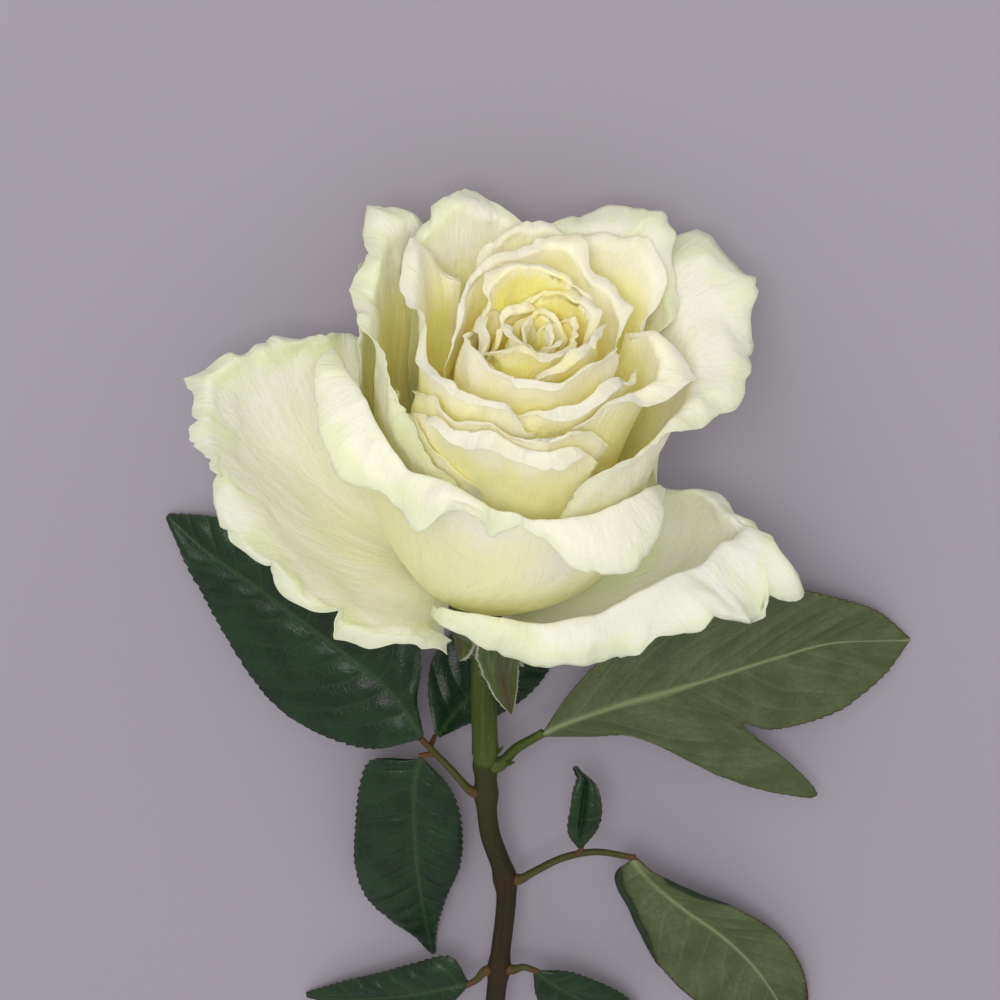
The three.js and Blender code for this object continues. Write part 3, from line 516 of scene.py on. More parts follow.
def petal_place(petal, u, t):
    """Claw at t = 0, crest at 1, end of the lip at 2; u from -1 to 1 across.

    Each row of crest is a turn in degrees, how far out and how high the crest is there, and how far
    the lip goes out and up from it. seat is how far down the hip the claw starts, from 0 to 1. A
    petal of the cup swells out to cup. An open one has two shares of the way out and up instead,
    and droop is a share of how far its lip hangs."""
    rows = petal["crest"]
    turn_end, r_crest, w_crest, lip_out, lip_up = np.moveaxis(between(rows, (u + 1) / 2), -1, 0)
    turn_mid = between(rows, np.array(0.5))[0]
    seat = petal["seat"]
    r0 = SEAT_TOP[0] + seat * (SEAT_RIM[0] - SEAT_TOP[0])
    w0 = SEAT_TOP[1] + seat * (SEAT_RIM[1] - SEAT_TOP[1])
    claw = math.degrees(min(CLAW_HALF_WIDTH / r0, 0.58)) * u
    body = np.minimum(t, 1)
    opening = np.sin(math.pi / 2 * np.minimum(body / 0.8, 1)) ** 1.2
    turn = (turn_mid + claw) * (1 - opening) + turn_end * opening
    if "open" in petal:
        f = petal["open"]
        r1, w1 = r0 + f[0] * (r_crest - r0), w0 + f[1] * (w_crest - w0)
        r2, w2 = r0 + f[2] * (r_crest - r0), w0 + f[3] * (w_crest - w0)
    else:
        r1, w1 = petal["cup"], max(BELLY_LOW, w0 + 1)
        r2, w2 = petal["cup"] + 0.1 * (r_crest - petal["cup"]), np.minimum(BELLY_HIGH, 0.75 * w_crest)
    s = 1 - body
    r = s**3 * r0 + 3 * s * s * body * r1 + 3 * s * body**2 * r2 + body**3 * r_crest
    w = s**3 * w0 + 3 * s * s * body * w1 + 3 * s * body**2 * w2 + body**3 * w_crest
    f = np.maximum(t - 1, 0)
    run = np.maximum(np.hypot(r_crest - r2, w_crest - w2), 1e-6)
    lip_up = lip_up * petal.get("droop", 1.0)
    bow = 0.4 * np.hypot(lip_out, lip_up) * petal.get("droop", 1.0)
    r = r + 2 * f * (1 - f) * bow * (r_crest - r2) / run + f * f * lip_out
    w = w + 2 * f * (1 - f) * bow * (w_crest - w2) / run + f * f * lip_up
    return bloom_place(turn, r, w)


BODY_ROWS, LIP_ROWS = 34, 24
EDGE_THICK = 0.12
RUFFLES, WRINKLES, BILLOWS = 77, 78, 79  # seeds of the pushes that all petals share


def add_petal(name, petal, material, seed, wave, pitch, ragged, crisp, swell):
    """A petal with a ragged, ruffled margin.

    wave and pitch are the height and width of its broad ruffles, swell how far its body billows,
    ragged how deep its margin is cut and crisp how sharply it crinkles. Its cusps are places across
    it, from -1 to 1, with their width and how far the margin stands out or is nicked there. waves
    are shares of the ruffles across it, and soften is how often its rows are evened out."""
    ends = petal_place(petal, np.linspace(-1, 1, 80)[None, :], np.full((1, 80), 1.0))
    crest_length = float(run_along(ends, 1)[0, -1])
    columns = int(np.clip(crest_length / 0.55, 56, 190))
    body = 1 - (1 - np.linspace(0, 1, BODY_ROWS)) ** 1.25
    lip = 1 + np.linspace(0, 1, LIP_ROWS)[1:]
    u, t = np.meshgrid(np.linspace(-1, 1, columns), np.concatenate([body, lip]))
    base = petal_place(petal, u, t)
    for _ in range(petal.get("soften", 0)):
        base[1:-1] = 0.25 * base[:-2] + 0.5 * base[1:-1] + 0.25 * base[2:]
    along = run_along(base, 0)
    across = run_along(base, 1)
    top = along[-1] - along
    side = np.minimum(across, across[:, -1:] - across)
    crest_row = len(body) - 1
    walk = np.linspace(0, crest_length, columns)[None, :] * np.ones_like(u)
    edge = np.minimum(top, side)

    # The margin's own outline: shallow scallops and a few small nicks, pulled in along the petal.
    nicks = np.maximum(0, noise1(walk / 2.6, seed + 1) - 0.6) * 2.0
    scallops = 0.75 * noise1(walk / 6.5, seed, 0.7) + 0.3 * noise1(walk / 1.7, seed + 2, 0.8)
    outline = ragged * (scallops - nicks - 0.2)
    for place, wide, rise in petal.get("cusps", ()):
        outline = outline + rise * np.exp(-np.abs(u - place) / wide)
    fade = np.exp(-top / (3.4 + 1.5 * ragged))
    ahead = unit(np.gradient(base, axis=0))
    mid = base + ahead * (outline * fade)[..., None]

    # Ruffles die away from the margin. The broad ones are shared with the petals next to this one.
    normal = facing(base)
    strength = petal.get("waves")
    share = between(np.array(strength)[:, None], (u + 1) / 2)[..., 0] if strength else 1.0
    loose = np.exp(-((np.minimum(top, side + 4) / 11) ** 1.3)) * share
    mid = mid + drift(base, pitch, RUFFLES) * (wave * loose)[..., None]
    mid = mid + drift(base, 1.5 * pitch, BILLOWS) * (swell * smooth(along, 8, 26))[..., None]
    mid = mid + drift(base, 0.45 * pitch, WRINKLES) * (0.4 * wave * loose)[..., None]
    folds = noise1(walk / 3.4 + 3, seed + 3, 0.6) * np.exp(-top / 4.0)
    crimp = noise1(walk / 1.25 + 3, seed + 4, 0.7) * np.exp(-top / 1.6)
    lift = crisp * share * (folds + 0.55 * crimp)
    lift = lift + 0.16 * noise2(walk / 2.2, along / 4 + 9, seed + 7) * smooth(along, 12, 26)
    mid = mid + normal * lift[..., None]
    # Where a petal would go under the table, it rests on it instead.
    low = 0.3 - SHIFT[2]
    mid[..., 2] = low + 0.35 * np.logaddexp(0, (mid[..., 2] - low) / 0.35)

    half = 0.5 * (EDGE_THICK + (PETAL_THICK - EDGE_THICK) * smooth(edge, 0, 5))
    fan = u * 0.5 * crest_length
    mm = np.stack([fan, along, np.full_like(u, 10.0 * seed)], axis=-1)
    deep = np.maximum(0, along[crest_row] - along)
    shell = Shell()
    add_sheet(shell, mid, half, half, {"edge": edge, "deep": deep, "mm": mm})
    shell.piece(name, material)


HEART_COUNT = 12
for i in range(HEART_COUNT):
    part = i / (HEART_COUNT - 1)
    height = 61.5 + 3.5 * math.sin(1.9 * i) * part + 2 * part
    half_span = 78 - 12 * part
    crest = [
        [20 + 137.5 * i + half_span * side, 2.1 + 0.9 * i, height - 7 * abs(side) ** 3,
         0.6 + 2.0 * part * (1 - side * side), 1.0 - 1.2 * part * (1 - side * side)]
        for side in (-1, -0.66, -0.33, 0, 0.33, 0.66, 1)
    ]
    heart = {"crest": crest, "cup": 2.6 + 0.86 * i, "seat": 0.36 * part}
    wave = 0.9 + 0.6 * part
    add_petal(
        f"petal_heart_{i + 1}", heart, HEART_LOOK, 100 + i,
        wave=wave, pitch=5, ragged=1.0, crisp=0.3, swell=0.2,
    )

CUP_PETALS = {
    "petal_ring_front": dict(seat=0.4, cup=13.2, crest=[
        [172, 13, 58, 0.4, 1], [190, 13.3, 61.5, 0.5, 1], [215, 13.6, 62.5, 1.2, 0.2],
        [245, 13.8, 62, 2, 0], [275, 14.4, 61.5, 2, 0], [305, 14.8, 62, 1, 1], [335, 15.2, 62, 1, 1],
        [360, 15.6, 58, 0.3, 1],
    ]),
    "petal_ring_back": dict(seat=0.42, cup=14.4,
        cusps=[(-0.22, 0.1, 2.6)],
        crest=[
            [18, 16, 56, 0.5, 1], [38, 19.5, 61, 3.5, 1.5], [55, 19, 63.5, 2.5, 2], [78, 20, 65, 4, 2],
            [100, 17.5, 65, 1.5, 1], [130, 16, 64.5, 1, 1], [160, 15.6, 63, 1, 1],
            [188, 15.2, 59, 1, 1],
        ],
    ),
    "petal_crown_right": dict(seat=0.47, cup=15.6, crest=[
        [255, 16.6, 54, 0.4, 1], [275, 17.6, 58, 1.5, 0.5], [295, 18, 58.5, 2, 0],
        [318, 18.5, 58, 2, 0], [340, 19, 57, 1.5, 0.5], [362, 19, 53, 0.5, 1],
    ]),
    "petal_crown_left": dict(seat=0.49, cup=17, crest=[
        [122, 25, 54, 0.5, 1], [134, 28, 61, 3, 2], [156, 24, 61.5, 2, 1], [188, 20.8, 60.5, 1.2, 1],
        [222, 20.5, 60, 2, 0.5], [244, 20, 60, 2, 0], [263, 19, 58.5, 1.5, 0.5], [280, 19, 53, 0.5, 1],
    ]),
    "petal_crown_flap": dict(seat=0.54, cup=18.2,
        cusps=[(0.24, 0.07, 2.2)],
        crest=[
            [300, 19, 52, 0.5, 1], [316, 20, 56, 1.5, 1], [336, 22, 56, 4.5, 0], [355, 23.5, 56, 7, 0],
            [372, 22.5, 57.5, 2.5, 2], [392, 20.5, 53, 0.5, 1],
        ],
    ),
    "petal_back_inner": dict(seat=0.52, cup=18.6, crest=[
        [28, 25, 56, 0.5, 1], [46, 31, 62, 4.5, 3], [60, 29, 63.5, 3.5, 2], [80, 28, 64.5, 2.5, 1.5],
        [97, 26.5, 64, 2, 1.5], [110, 24, 61, 1, 1.5], [119, 22.5, 55, 0.5, 1],
    ]),
    "petal_bud_inner": dict(seat=0.56, cup=20, crest=[
        [190, 20, 48, 0.3, 1], [212, 21.5, 54.5, 0.6, 1], [240, 22.5, 56, 1, 0.5],
        [270, 22, 55.5, 1.2, 0], [300, 21.5, 53, 0.8, 0.5], [322, 21, 47, 0.3, 1],
    ]),
    "petal_bud_front": dict(seat=0.65, cup=21.2, crest=[
        [205, 22, 45, 0.3, 1], [219, 23, 51.5, 1, 1.2], [234, 23.6, 55.2, 2.8, -0.2],
        [250, 24, 55.4, 3.2, -1.6], [264, 23.6, 55, 2.4, -1.8], [280, 23.8, 53.4, 3.2, -1],
        [296, 23.4, 51.6, 2.6, 0.4], [312, 23, 46, 0.5, 1],
    ]),
    "petal_back_outer": dict(seat=0.61, cup=22.2, crest=[
        [32, 31, 54, 1, 1], [48, 35, 60.5, 8, 3], [59, 33.5, 62, 7.5, 3], [70, 31.5, 63, 6, 3],
        [84, 28.8, 62.5, 3, 2.5], [96, 26.5, 57, 1, 1],
    ]),
    "petal_left_yellow": dict(seat=0.72, cup=22.5, crest=[
        [180, 24.5, 44, 0.5, 1], [194, 24.4, 49, 0.4, 1], [212, 24.2, 49.5, 0.4, 1],
        [232, 24.2, 46, 0.3, 1], [250, 24.2, 40, 0.3, 1], [266, 24, 32, 0.3, 1],
    ]),
    "petal_back_left": dict(seat=0.69, cup=24,
        cusps=[(-0.27, 0.12, 1.8), (0.42, 0.05, 1.2)],
        crest=[
            [82, 31.5, 52, 0.5, 1], [93, 32, 60, 2, 3], [104, 34, 62, 7, 3], [116, 35, 62, 4, 2],
            [127, 34.2, 59, 3, 1], [136, 32.2, 52, 1, 1],
        ],
    ),
    "petal_left": dict(seat=0.79, cup=24.4,
        cusps=[(-0.62, 0.05, 2.4), (-0.2, 0.03, 0.9)],
        crest=[
            [112, 36.2, 46, 1, 1], [124, 38.5, 57, 4, 3], [134, 37.5, 60, 6, 4], [146, 35, 59.5, 5, 2],
            [160, 32.5, 58.5, 3.5, 1.5], [176, 30, 57, 1.5, 1], [194, 27, 55.5, 0.8, 1],
            [212, 26.2, 52, 0.5, 1], [228, 26, 46.5, 0.4, 1], [243, 26, 40, 0.3, 1],
            [258, 25.8, 31, 0.3, 1],
        ],
    ),
    "petal_right": dict(seat=0.74, cup=25.6,
        cusps=[(0.68, 0.07, 5.0), (0.46, 0.02, 1.6), (0.42, 0.015, -1.2), (0.31, 0.03, 0.8),
               (0.27, 0.02, -1.3), (0.19, 0.03, 1.0)],
        crest=[
            [280, 25.8, 33, 0.3, 1], [288, 26, 41, 0.3, 1], [298, 26.2, 46, 0.6, 1],
            [315, 27, 49, 1.5, 1], [332, 28, 50, 3, 0.5], [347, 29, 50, 7, 0], [360, 30, 50, 11, 1],
            [375, 31, 51, 14, 2], [391, 33, 52.5, 17, 4], [405, 34, 54, 13, 5], [416, 33, 52, 7, 3],
            [430, 31, 46, 1, 1],
        ],
    ),
    "petal_left_peek": dict(seat=0.87, cup=26.4, crest=[
        [122, 36.5, 38, 1, 1], [133, 38.5, 47, 2, 2], [145, 38, 52.5, 2.5, 3], [156, 36, 53, 2, 2],
        [165, 33.5, 49, 1, 1], [173, 31.5, 42, 0.5, 1],
    ]),
    "petal_front": dict(seat=0.88, cup=28.4, soften=12,
        waves=[1, 0.8, 0.5, 0.4, 0.5, 0.6, 1.6, 1.8, 1.5, 0.5, 0.25, 0.25, 0.3, 0.4, 0.4],
        cusps=[(-0.52, 0.14, -2.2), (0.6, 0.1, 1.0)],
        crest=[
            [158, 36, 36, 0.5, 1], [167, 36, 44, 2, 2], [178, 34, 47.5, 6, 0], [190, 31, 48.5, 9, -3],
            [202, 29.6, 48, 9.5, -5], [215, 29.4, 46.5, 9, -7.5], [228, 30, 45, 6, -5],
            [242, 30.5, 44.2, 7.5, -4.5], [256, 30.8, 43.6, 4, -3], [271, 29.6, 42.6, 2, -1],
            [285, 29.4, 41.6, 8, -3], [299, 29, 40.8, 9.5, -4], [316, 28.8, 40, 7, -4.5],
            [332, 29.2, 38, 4, -3], [346, 29.4, 33, 1, 0],
        ],
    ),
}
for k, (name, petal) in enumerate(CUP_PETALS.items()):
    look = OUTER_LOOK if name in OUTER_PETALS else CUP_LOOK
    add_petal(
        name, petal, look, 200 + 10 * k,
        wave=1.5 + 0.04 * k, pitch=7 + 0.1 * k, ragged=0.9, crisp=0.45, swell=0.35,
    )

GUARD_PETALS = {
    "petal_guard_back_right": dict(seat=0.87, open=[0.75, 0, 1, 0.5], crest=[
        [8, 30.5, 18, 0.5, 1], [21, 32.5, 28, 2, 1], [36, 33.8, 36, 3, 0], [52, 34, 40, 3, -1],
        [70, 34, 41, 3, -1], [86, 33.5, 37, 2, 0], [100, 32, 28, 0.5, 1],
    ]),
    "petal_guard_back_left": dict(seat=0.97, open=[0.7, 0, 0.96, 0.45], crest=[
        [64, 34.5, 16, 0.5, 1], [80, 36, 25, 1.5, 1], [96, 36.8, 31, 2, 0], [112, 37.4, 32.5, 2.5, 0],
        [128, 37.4, 29, 2, 0], [140, 36, 19, 0.5, 1],
    ]),
    "petal_guard_right": dict(seat=0.95, open=[0.7, -0.04, 0.97, 0.5], soften=12,
        waves=[0.6, 0.6, 0.6, 0.7, 0.9, 1.3, 1.7, 1.9, 1.7, 1.2, 0.8, 0.6],
        cusps=[(0.06, 0.025, -2.2), (0.2, 0.02, -3.0), (0.29, 0.03, 3.4), (0.36, 0.02, -3.0),
               (0.47, 0.05, 2.2)],
        crest=[
            [236, 24, 6, 0.4, 1], [248, 27, 11.5, 3, -1], [264, 28.6, 14, 5, -3.5],
            [279, 29.6, 15, 6.5, -5], [298, 31.5, 16.5, 8, -5.5], [313, 34, 18, 8.5, -6],
            [327, 37, 19, 9.5, -6], [339, 42, 19, 12, -4.5], [350, 46, 18.5, 13, -3],
            [357, 43, 18.5, 9, -2.5], [368, 38, 18, 4, -0.5], [380, 31, 15, 0.5, 0.5],
        ],
    ),
    "petal_guard_left": dict(seat=1, open=[0.34, 0.02, 0.72, 0.4], droop=0.35, soften=60,
        cusps=[(-0.27, 0.035, 3.2), (-0.14, 0.025, -3.6), (0.1, 0.02, -1.4), (0.3, 0.02, -1.2),
               (0.42, 0.03, -1.8), (0.63, 0.03, -2.8), (0.7, 0.03, 2.2)],
        crest=[
            [126, 34, 22, 0.5, 0.5], [137, 39, 33, 1, 1.5], [147, 44, 36.5, 2, 1.5],
            [157, 51, 34.5, 3, 0.5], [167, 59, 32, 4, 0.5], [177, 58, 28, 3, -0.5],
            [187, 56, 25, 2.5, -1], [197, 53, 21, 3, -1], [207, 48, 16.5, 3, -1.5],
            [221, 42, 11.5, 3, -1.5], [236, 35, 7.5, 3, -1.5], [250, 29, 4, 2.5, -1],
        ],
    ),
}
for k, (name, petal) in enumerate(GUARD_PETALS.items()):
    add_petal(
        name, petal, GUARD_LOOK, 500 + 10 * k,
        wave=2.6, pitch=8.5, ragged=1.25, crisp=0.9, swell=1.5,
    )

# ---- Under the bloom ----
HIP_LENGTH, HIP_WIDE = 9.5, 6
hip_profile = np.array([
    [0.02, -HIP_LENGTH - 1.2], [2.85, -HIP_LENGTH - 1.0], [3.1, -9.1], [4.2, -8.5], [6.1, -6.9], [7.15, -5.0],
    [6.9, -3.8], [5.4, -1.6], [3.4, 1.2], [1.7, 3.6], [0.7, 4.8], [0.02, 5],
])
HIP_RINGS, HIP_SIDES = 70, 60
fine = between(hip_profile, np.linspace(0, 1, HIP_RINGS))
turn = np.arange(HIP_SIDES) * 2 * math.pi / HIP_SIDES
ribs = 1 + 0.02 * np.cos(5 * turn)[None, :] + 0.012 * noise2(turn[None, :] * 9, fine[:, 1:] * 0.5, 31)
r = np.maximum(fine[:, :1], 0.02) * ribs
ring = (
    SEAT + r[..., None] * (np.cos(turn)[None, :, None] * RIGHT + np.sin(turn)[None, :, None] * BACK)
    + fine[:, 1][:, None, None] * AXIS
)
centre = np.arange(HIP_SIDES)[None, :]
lids = [centre[:, ::-1], (HIP_RINGS - 1) * HIP_SIDES + centre]
around = np.tile(turn, HIP_RINGS)
along = np.repeat(fine[:, 1], HIP_SIDES)
mm = np.stack([np.cos(around) * HIP_WIDE, np.sin(around) * HIP_WIDE, along], axis=1)
shell = Shell()
values = {"along": along, "mm": mm}
shell.put(ring.reshape(-1, 3), [ring_faces(HIP_RINGS, HIP_SIDES), *lids], values)
shell.piece("petal_seat", STALK_LOOK)

SEPAL_ROWS, SEPAL_COLUMNS = 90, 33
HAIRS, HAIR_LONG, HAIR_THICK = 260, (0.35, 0.9), 0.035
FIRST_SEPAL = 286  # degrees round the bloom's axis
# Each sepal's length and how far its tip leans to the right.
SEPALS = [(31, 5.5), (24, 2), (23, -2.5), (24, 2), (20, 1.5)]


def sepal_place(middle, length, lean, u, t):
    """A sepal hanging back from the hip: t runs from root to tip and u from -1 to 1 across."""
    half = (4.4 + 8.5 * t) * (1 - t) ** 0.85 + 0.2
    r = 8.3 + 2.2 * np.sin(math.pi * np.minimum(1, 1.6 * t)) - t - 0.4 * u * u
    w = -3.6 - length * t
    a = math.radians(middle) + half * u / r
    rise = 0.0042 * np.maximum(0, -w - 8) ** 2
    place = SEAT + (r * np.cos(a) + lean * t * t)[..., None] * RIGHT + (r * np.sin(a))[..., None] * BACK
    return place + w[..., None] * AXIS + rise[..., None] * np.array([0, 0, 1.0])


def add_hairs(shell, roots, outs, seed):
    """Fine tapering hairs, each a three-sided spike standing on its root."""
    draw = np.random.default_rng(seed)
    for root, out in zip(roots, outs):
        out = unit(out + draw.normal(0, 0.35, 3))
        side = unit(np.cross(out, [0.3, 0.2, 0.93]))
        up = np.cross(out, side)
        turn = np.array([0, 2.09, 4.19])
        foot = root + HAIR_THICK * (np.cos(turn)[:, None] * side + np.sin(turn)[:, None] * up)
        tip = root + out * draw.uniform(*HAIR_LONG)
        faces = [np.array([[0, 1, 3], [1, 2, 3], [2, 0, 3], [2, 1, 0]])]
        shell.put(np.vstack([foot, tip]), faces, {"hair": np.ones(4), "edge": np.full(4, 9.0)})


for k, (length, lean) in enumerate(SEPALS):
    u, t = np.meshgrid(np.linspace(-1, 1, SEPAL_COLUMNS), np.linspace(0, 1, SEPAL_ROWS))
    base = sepal_place(FIRST_SEPAL + 360 / 5 * k, length, lean, u, t)
    along = run_along(base, 0)
    across = run_along(base, 1)
    edge = np.minimum(across, across[:, -1:] - across)
    outward = unit(np.gradient(base, axis=1)) * np.sign(u)[..., None]
    lobes = 0.3 * noise1(along / 2.1 + 9 * (u > 0), 60 + k) + 0.12 * noise1(along / 0.7, 61 + k)
    base = base + outward * (lobes * smooth(np.abs(u), 0.5, 1) * smooth(1 - t, 0, 0.2))[..., None]
    normal = facing(base)
    ridge = 0.3 * np.exp(-((u / 0.12) ** 2)) + 0.15 * noise2(u * 3, along / 5, 70 + k)
    base = base + normal * (ridge * (1 - t))[..., None]
    half = np.full_like(u, 0.24) - 0.12 * smooth(np.abs(u), 0.6, 1)
    mm = np.stack([u * 4, along, np.full_like(u, 10.0 * k)], axis=-1)
    rib = np.exp(-((u / (0.1 + 0.5 * t)) ** 2)) * (0.3 + 0.7 * smooth(t, 0.3, 0.9))
    shell = Shell()
    add_sheet(shell, base, half, half, {"edge": edge, "rib": rib, "mm": mm, "hair": np.zeros_like(u)})
    draw = np.random.default_rng(80 + k)
    rows = draw.integers(4, SEPAL_ROWS - 2, HAIRS)
    ends = draw.integers(0, 2, HAIRS) * (SEPAL_COLUMNS - 1)
    add_hairs(shell, base[rows, ends], outward[rows, ends], 90 + k)
    shell.piece(f"sepal_{k + 1}", SEPAL_LOOK)

# ---- Stem ----
STEM_REACH, STEM_DIAMETER, STALK_DIAMETER, PETIOLE_DIAMETER = 235.0, 4.4, 5.7, 1.7
NODE_Y, NODE_Z, CUT_Z = -48.0, 0.62 * 26, 2.3
stem_line = [
    [-2, NODE_Y, NODE_Z], [-1.2, NODE_Y - 18, NODE_Z - 2], [2.4, NODE_Y - 32, NODE_Z - 3.4],
    [1.2, NODE_Y - 52, NODE_Z - 5.3], [0, NODE_Y - 66, NODE_Z - 6.5],
    [-1, 0.5 * (NODE_Y - 66 - STEM_REACH), 0.5 * (NODE_Z - 6.5 + CUT_Z)], [0.5, -STEM_REACH, CUT_Z],
]
# Where the leaves leave the stem.
NODES = {"right": (-2, -50), "left": (-1.6, -57), "lower": (2.3, -79), "foot": (0.9, -103)}
STEM_RINGS, STEM_SIDES = 420, 28
stem_path, stem_run = curve(stem_line, STEM_RINGS)


def stem_place(y):
    k = int(np.argmin(np.abs(stem_path[:, 1] - y)))
    return stem_path[k]


def node_place(node):
    return stem_place(NODES[node][1])


turn = np.arange(STEM_SIDES) * 2 * math.pi / STEM_SIDES
swell = np.zeros(len(stem_path))
joint = np.zeros(len(stem_path))
for _, y in NODES.values():
    away = np.abs(stem_path[:, 1] - y)
    swell += 0.24 * np.exp(-((away / 2.6) ** 2))
    joint += np.exp(-((away / 2.2) ** 2))
radius = STEM_DIAMETER / 2 * (1 + np.minimum(swell, 0.27))
radius = uneven(radius, stem_run, STEM_SIDES, 0.025, 1.3, 7, 41)
radius = radius + 0.05 * noise2(turn[None, :] * 3 + 5, stem_run[:, None] / 30, 42)
shell = Shell()
add_tube(shell, stem_path, stem_run, radius, np.minimum(joint, 1), [1, 0])
# The cut end: a slightly hollowed disc with pith, wood and bark.
end, ahead = stem_path[-1], unit(stem_path[-1] - stem_path[-2])
side = unit(np.cross(ahead, [0, 0, 1.0]))
up = np.cross(side, ahead)
CUT_RINGS = 12
share = np.linspace(0.02, 0.985, CUT_RINGS)
disc = np.array([
    end + ahead * (0.06 - 0.05 * f) + STEM_DIAMETER / 2 * f * (np.cos(a) * side + np.sin(a) * up)
    for f in share for a in turn
])
quads = ring_faces(CUT_RINGS, STEM_SIDES)[:, [0, 3, 2, 1]]
centre = np.arange(STEM_SIDES)[None, :]
back = disc - ahead * 0.3
size = len(disc)
outer = (CUT_RINGS - 1) * STEM_SIDES + np.arange(STEM_SIDES)
walls = np.stack([outer, outer + size, np.roll(outer, -1) + size, np.roll(outer, -1)], axis=1)
quads = [quads, quads[:, ::-1] + size, centre, centre[:, ::-1] + size, walls]
wood = np.tile(np.repeat(share, STEM_SIDES), 2)
points = np.vstack([disc, back])
shell.put(points, quads, {"cut": np.ones(2 * size), "heartwood": wood, "mm": points, "along": wood})
shell.piece("stem", STEM_LOOK)

start = SEAT + AXIS * (-HIP_LENGTH - 0.3)
stalk_line = [start, start - AXIS * 7, [-2.2, 0.7 * NODE_Y, NODE_Z + 2.2], [-2, NODE_Y + 0.5, NODE_Z + 0.2]]
path, run = curve(stalk_line, 130)
path = np.vstack([path[0] + AXIS * 1.2, path, path[-1] + unit(path[-1] - path[-2]) * 1.4])
run = np.concatenate([[run[0] - 1.2], run, [run[-1] + 1.4]])
part = np.linspace(0, 1, len(path))
radius = STALK_DIAMETER / 2 * (0.97 + 0.1 * np.exp(-((part / 0.05) ** 2)) + 0.05 * smooth(part, 0.85, 0.97))
radius = np.where(part > 0.975, radius * 0.9, radius)
radius = uneven(radius, run, STEM_SIDES, 0.02, 1.1, 9, 44)
joint = np.exp(-(((1 - part) / 0.05) ** 2))
shell = Shell()
add_tube(shell, path, run, radius, joint * 0.6, [0, 0])
shell.piece("flower_stalk", STALK_LOOK)


# ---- Leaves ----
def node_shift(node):
    """How far the stem's curve stands from the node's nominal place."""
    at = node_place(node)
    x, y = NODES[node]
    return np.array([at[0] - x, at[1] - y, 0])


def blade_place(rows, shift, u, t):
    """Each of rows is a place on the midrib, then the left and the right margin beside it."""
    row = between(rows, t)
    rib = row[..., 0:3]
    edge = np.where((u < 0)[..., None], row[..., 3:6], row[..., 6:9])
    place = rib + (edge - rib) * np.abs(u)[..., None]
    place[..., 2] += 0.9 * np.sin(math.pi * np.abs(u)) * np.sin(math.pi * t)
    return place + shift


FOLD_RADIUS, BLADE_WAVE = 0.55, 0.7


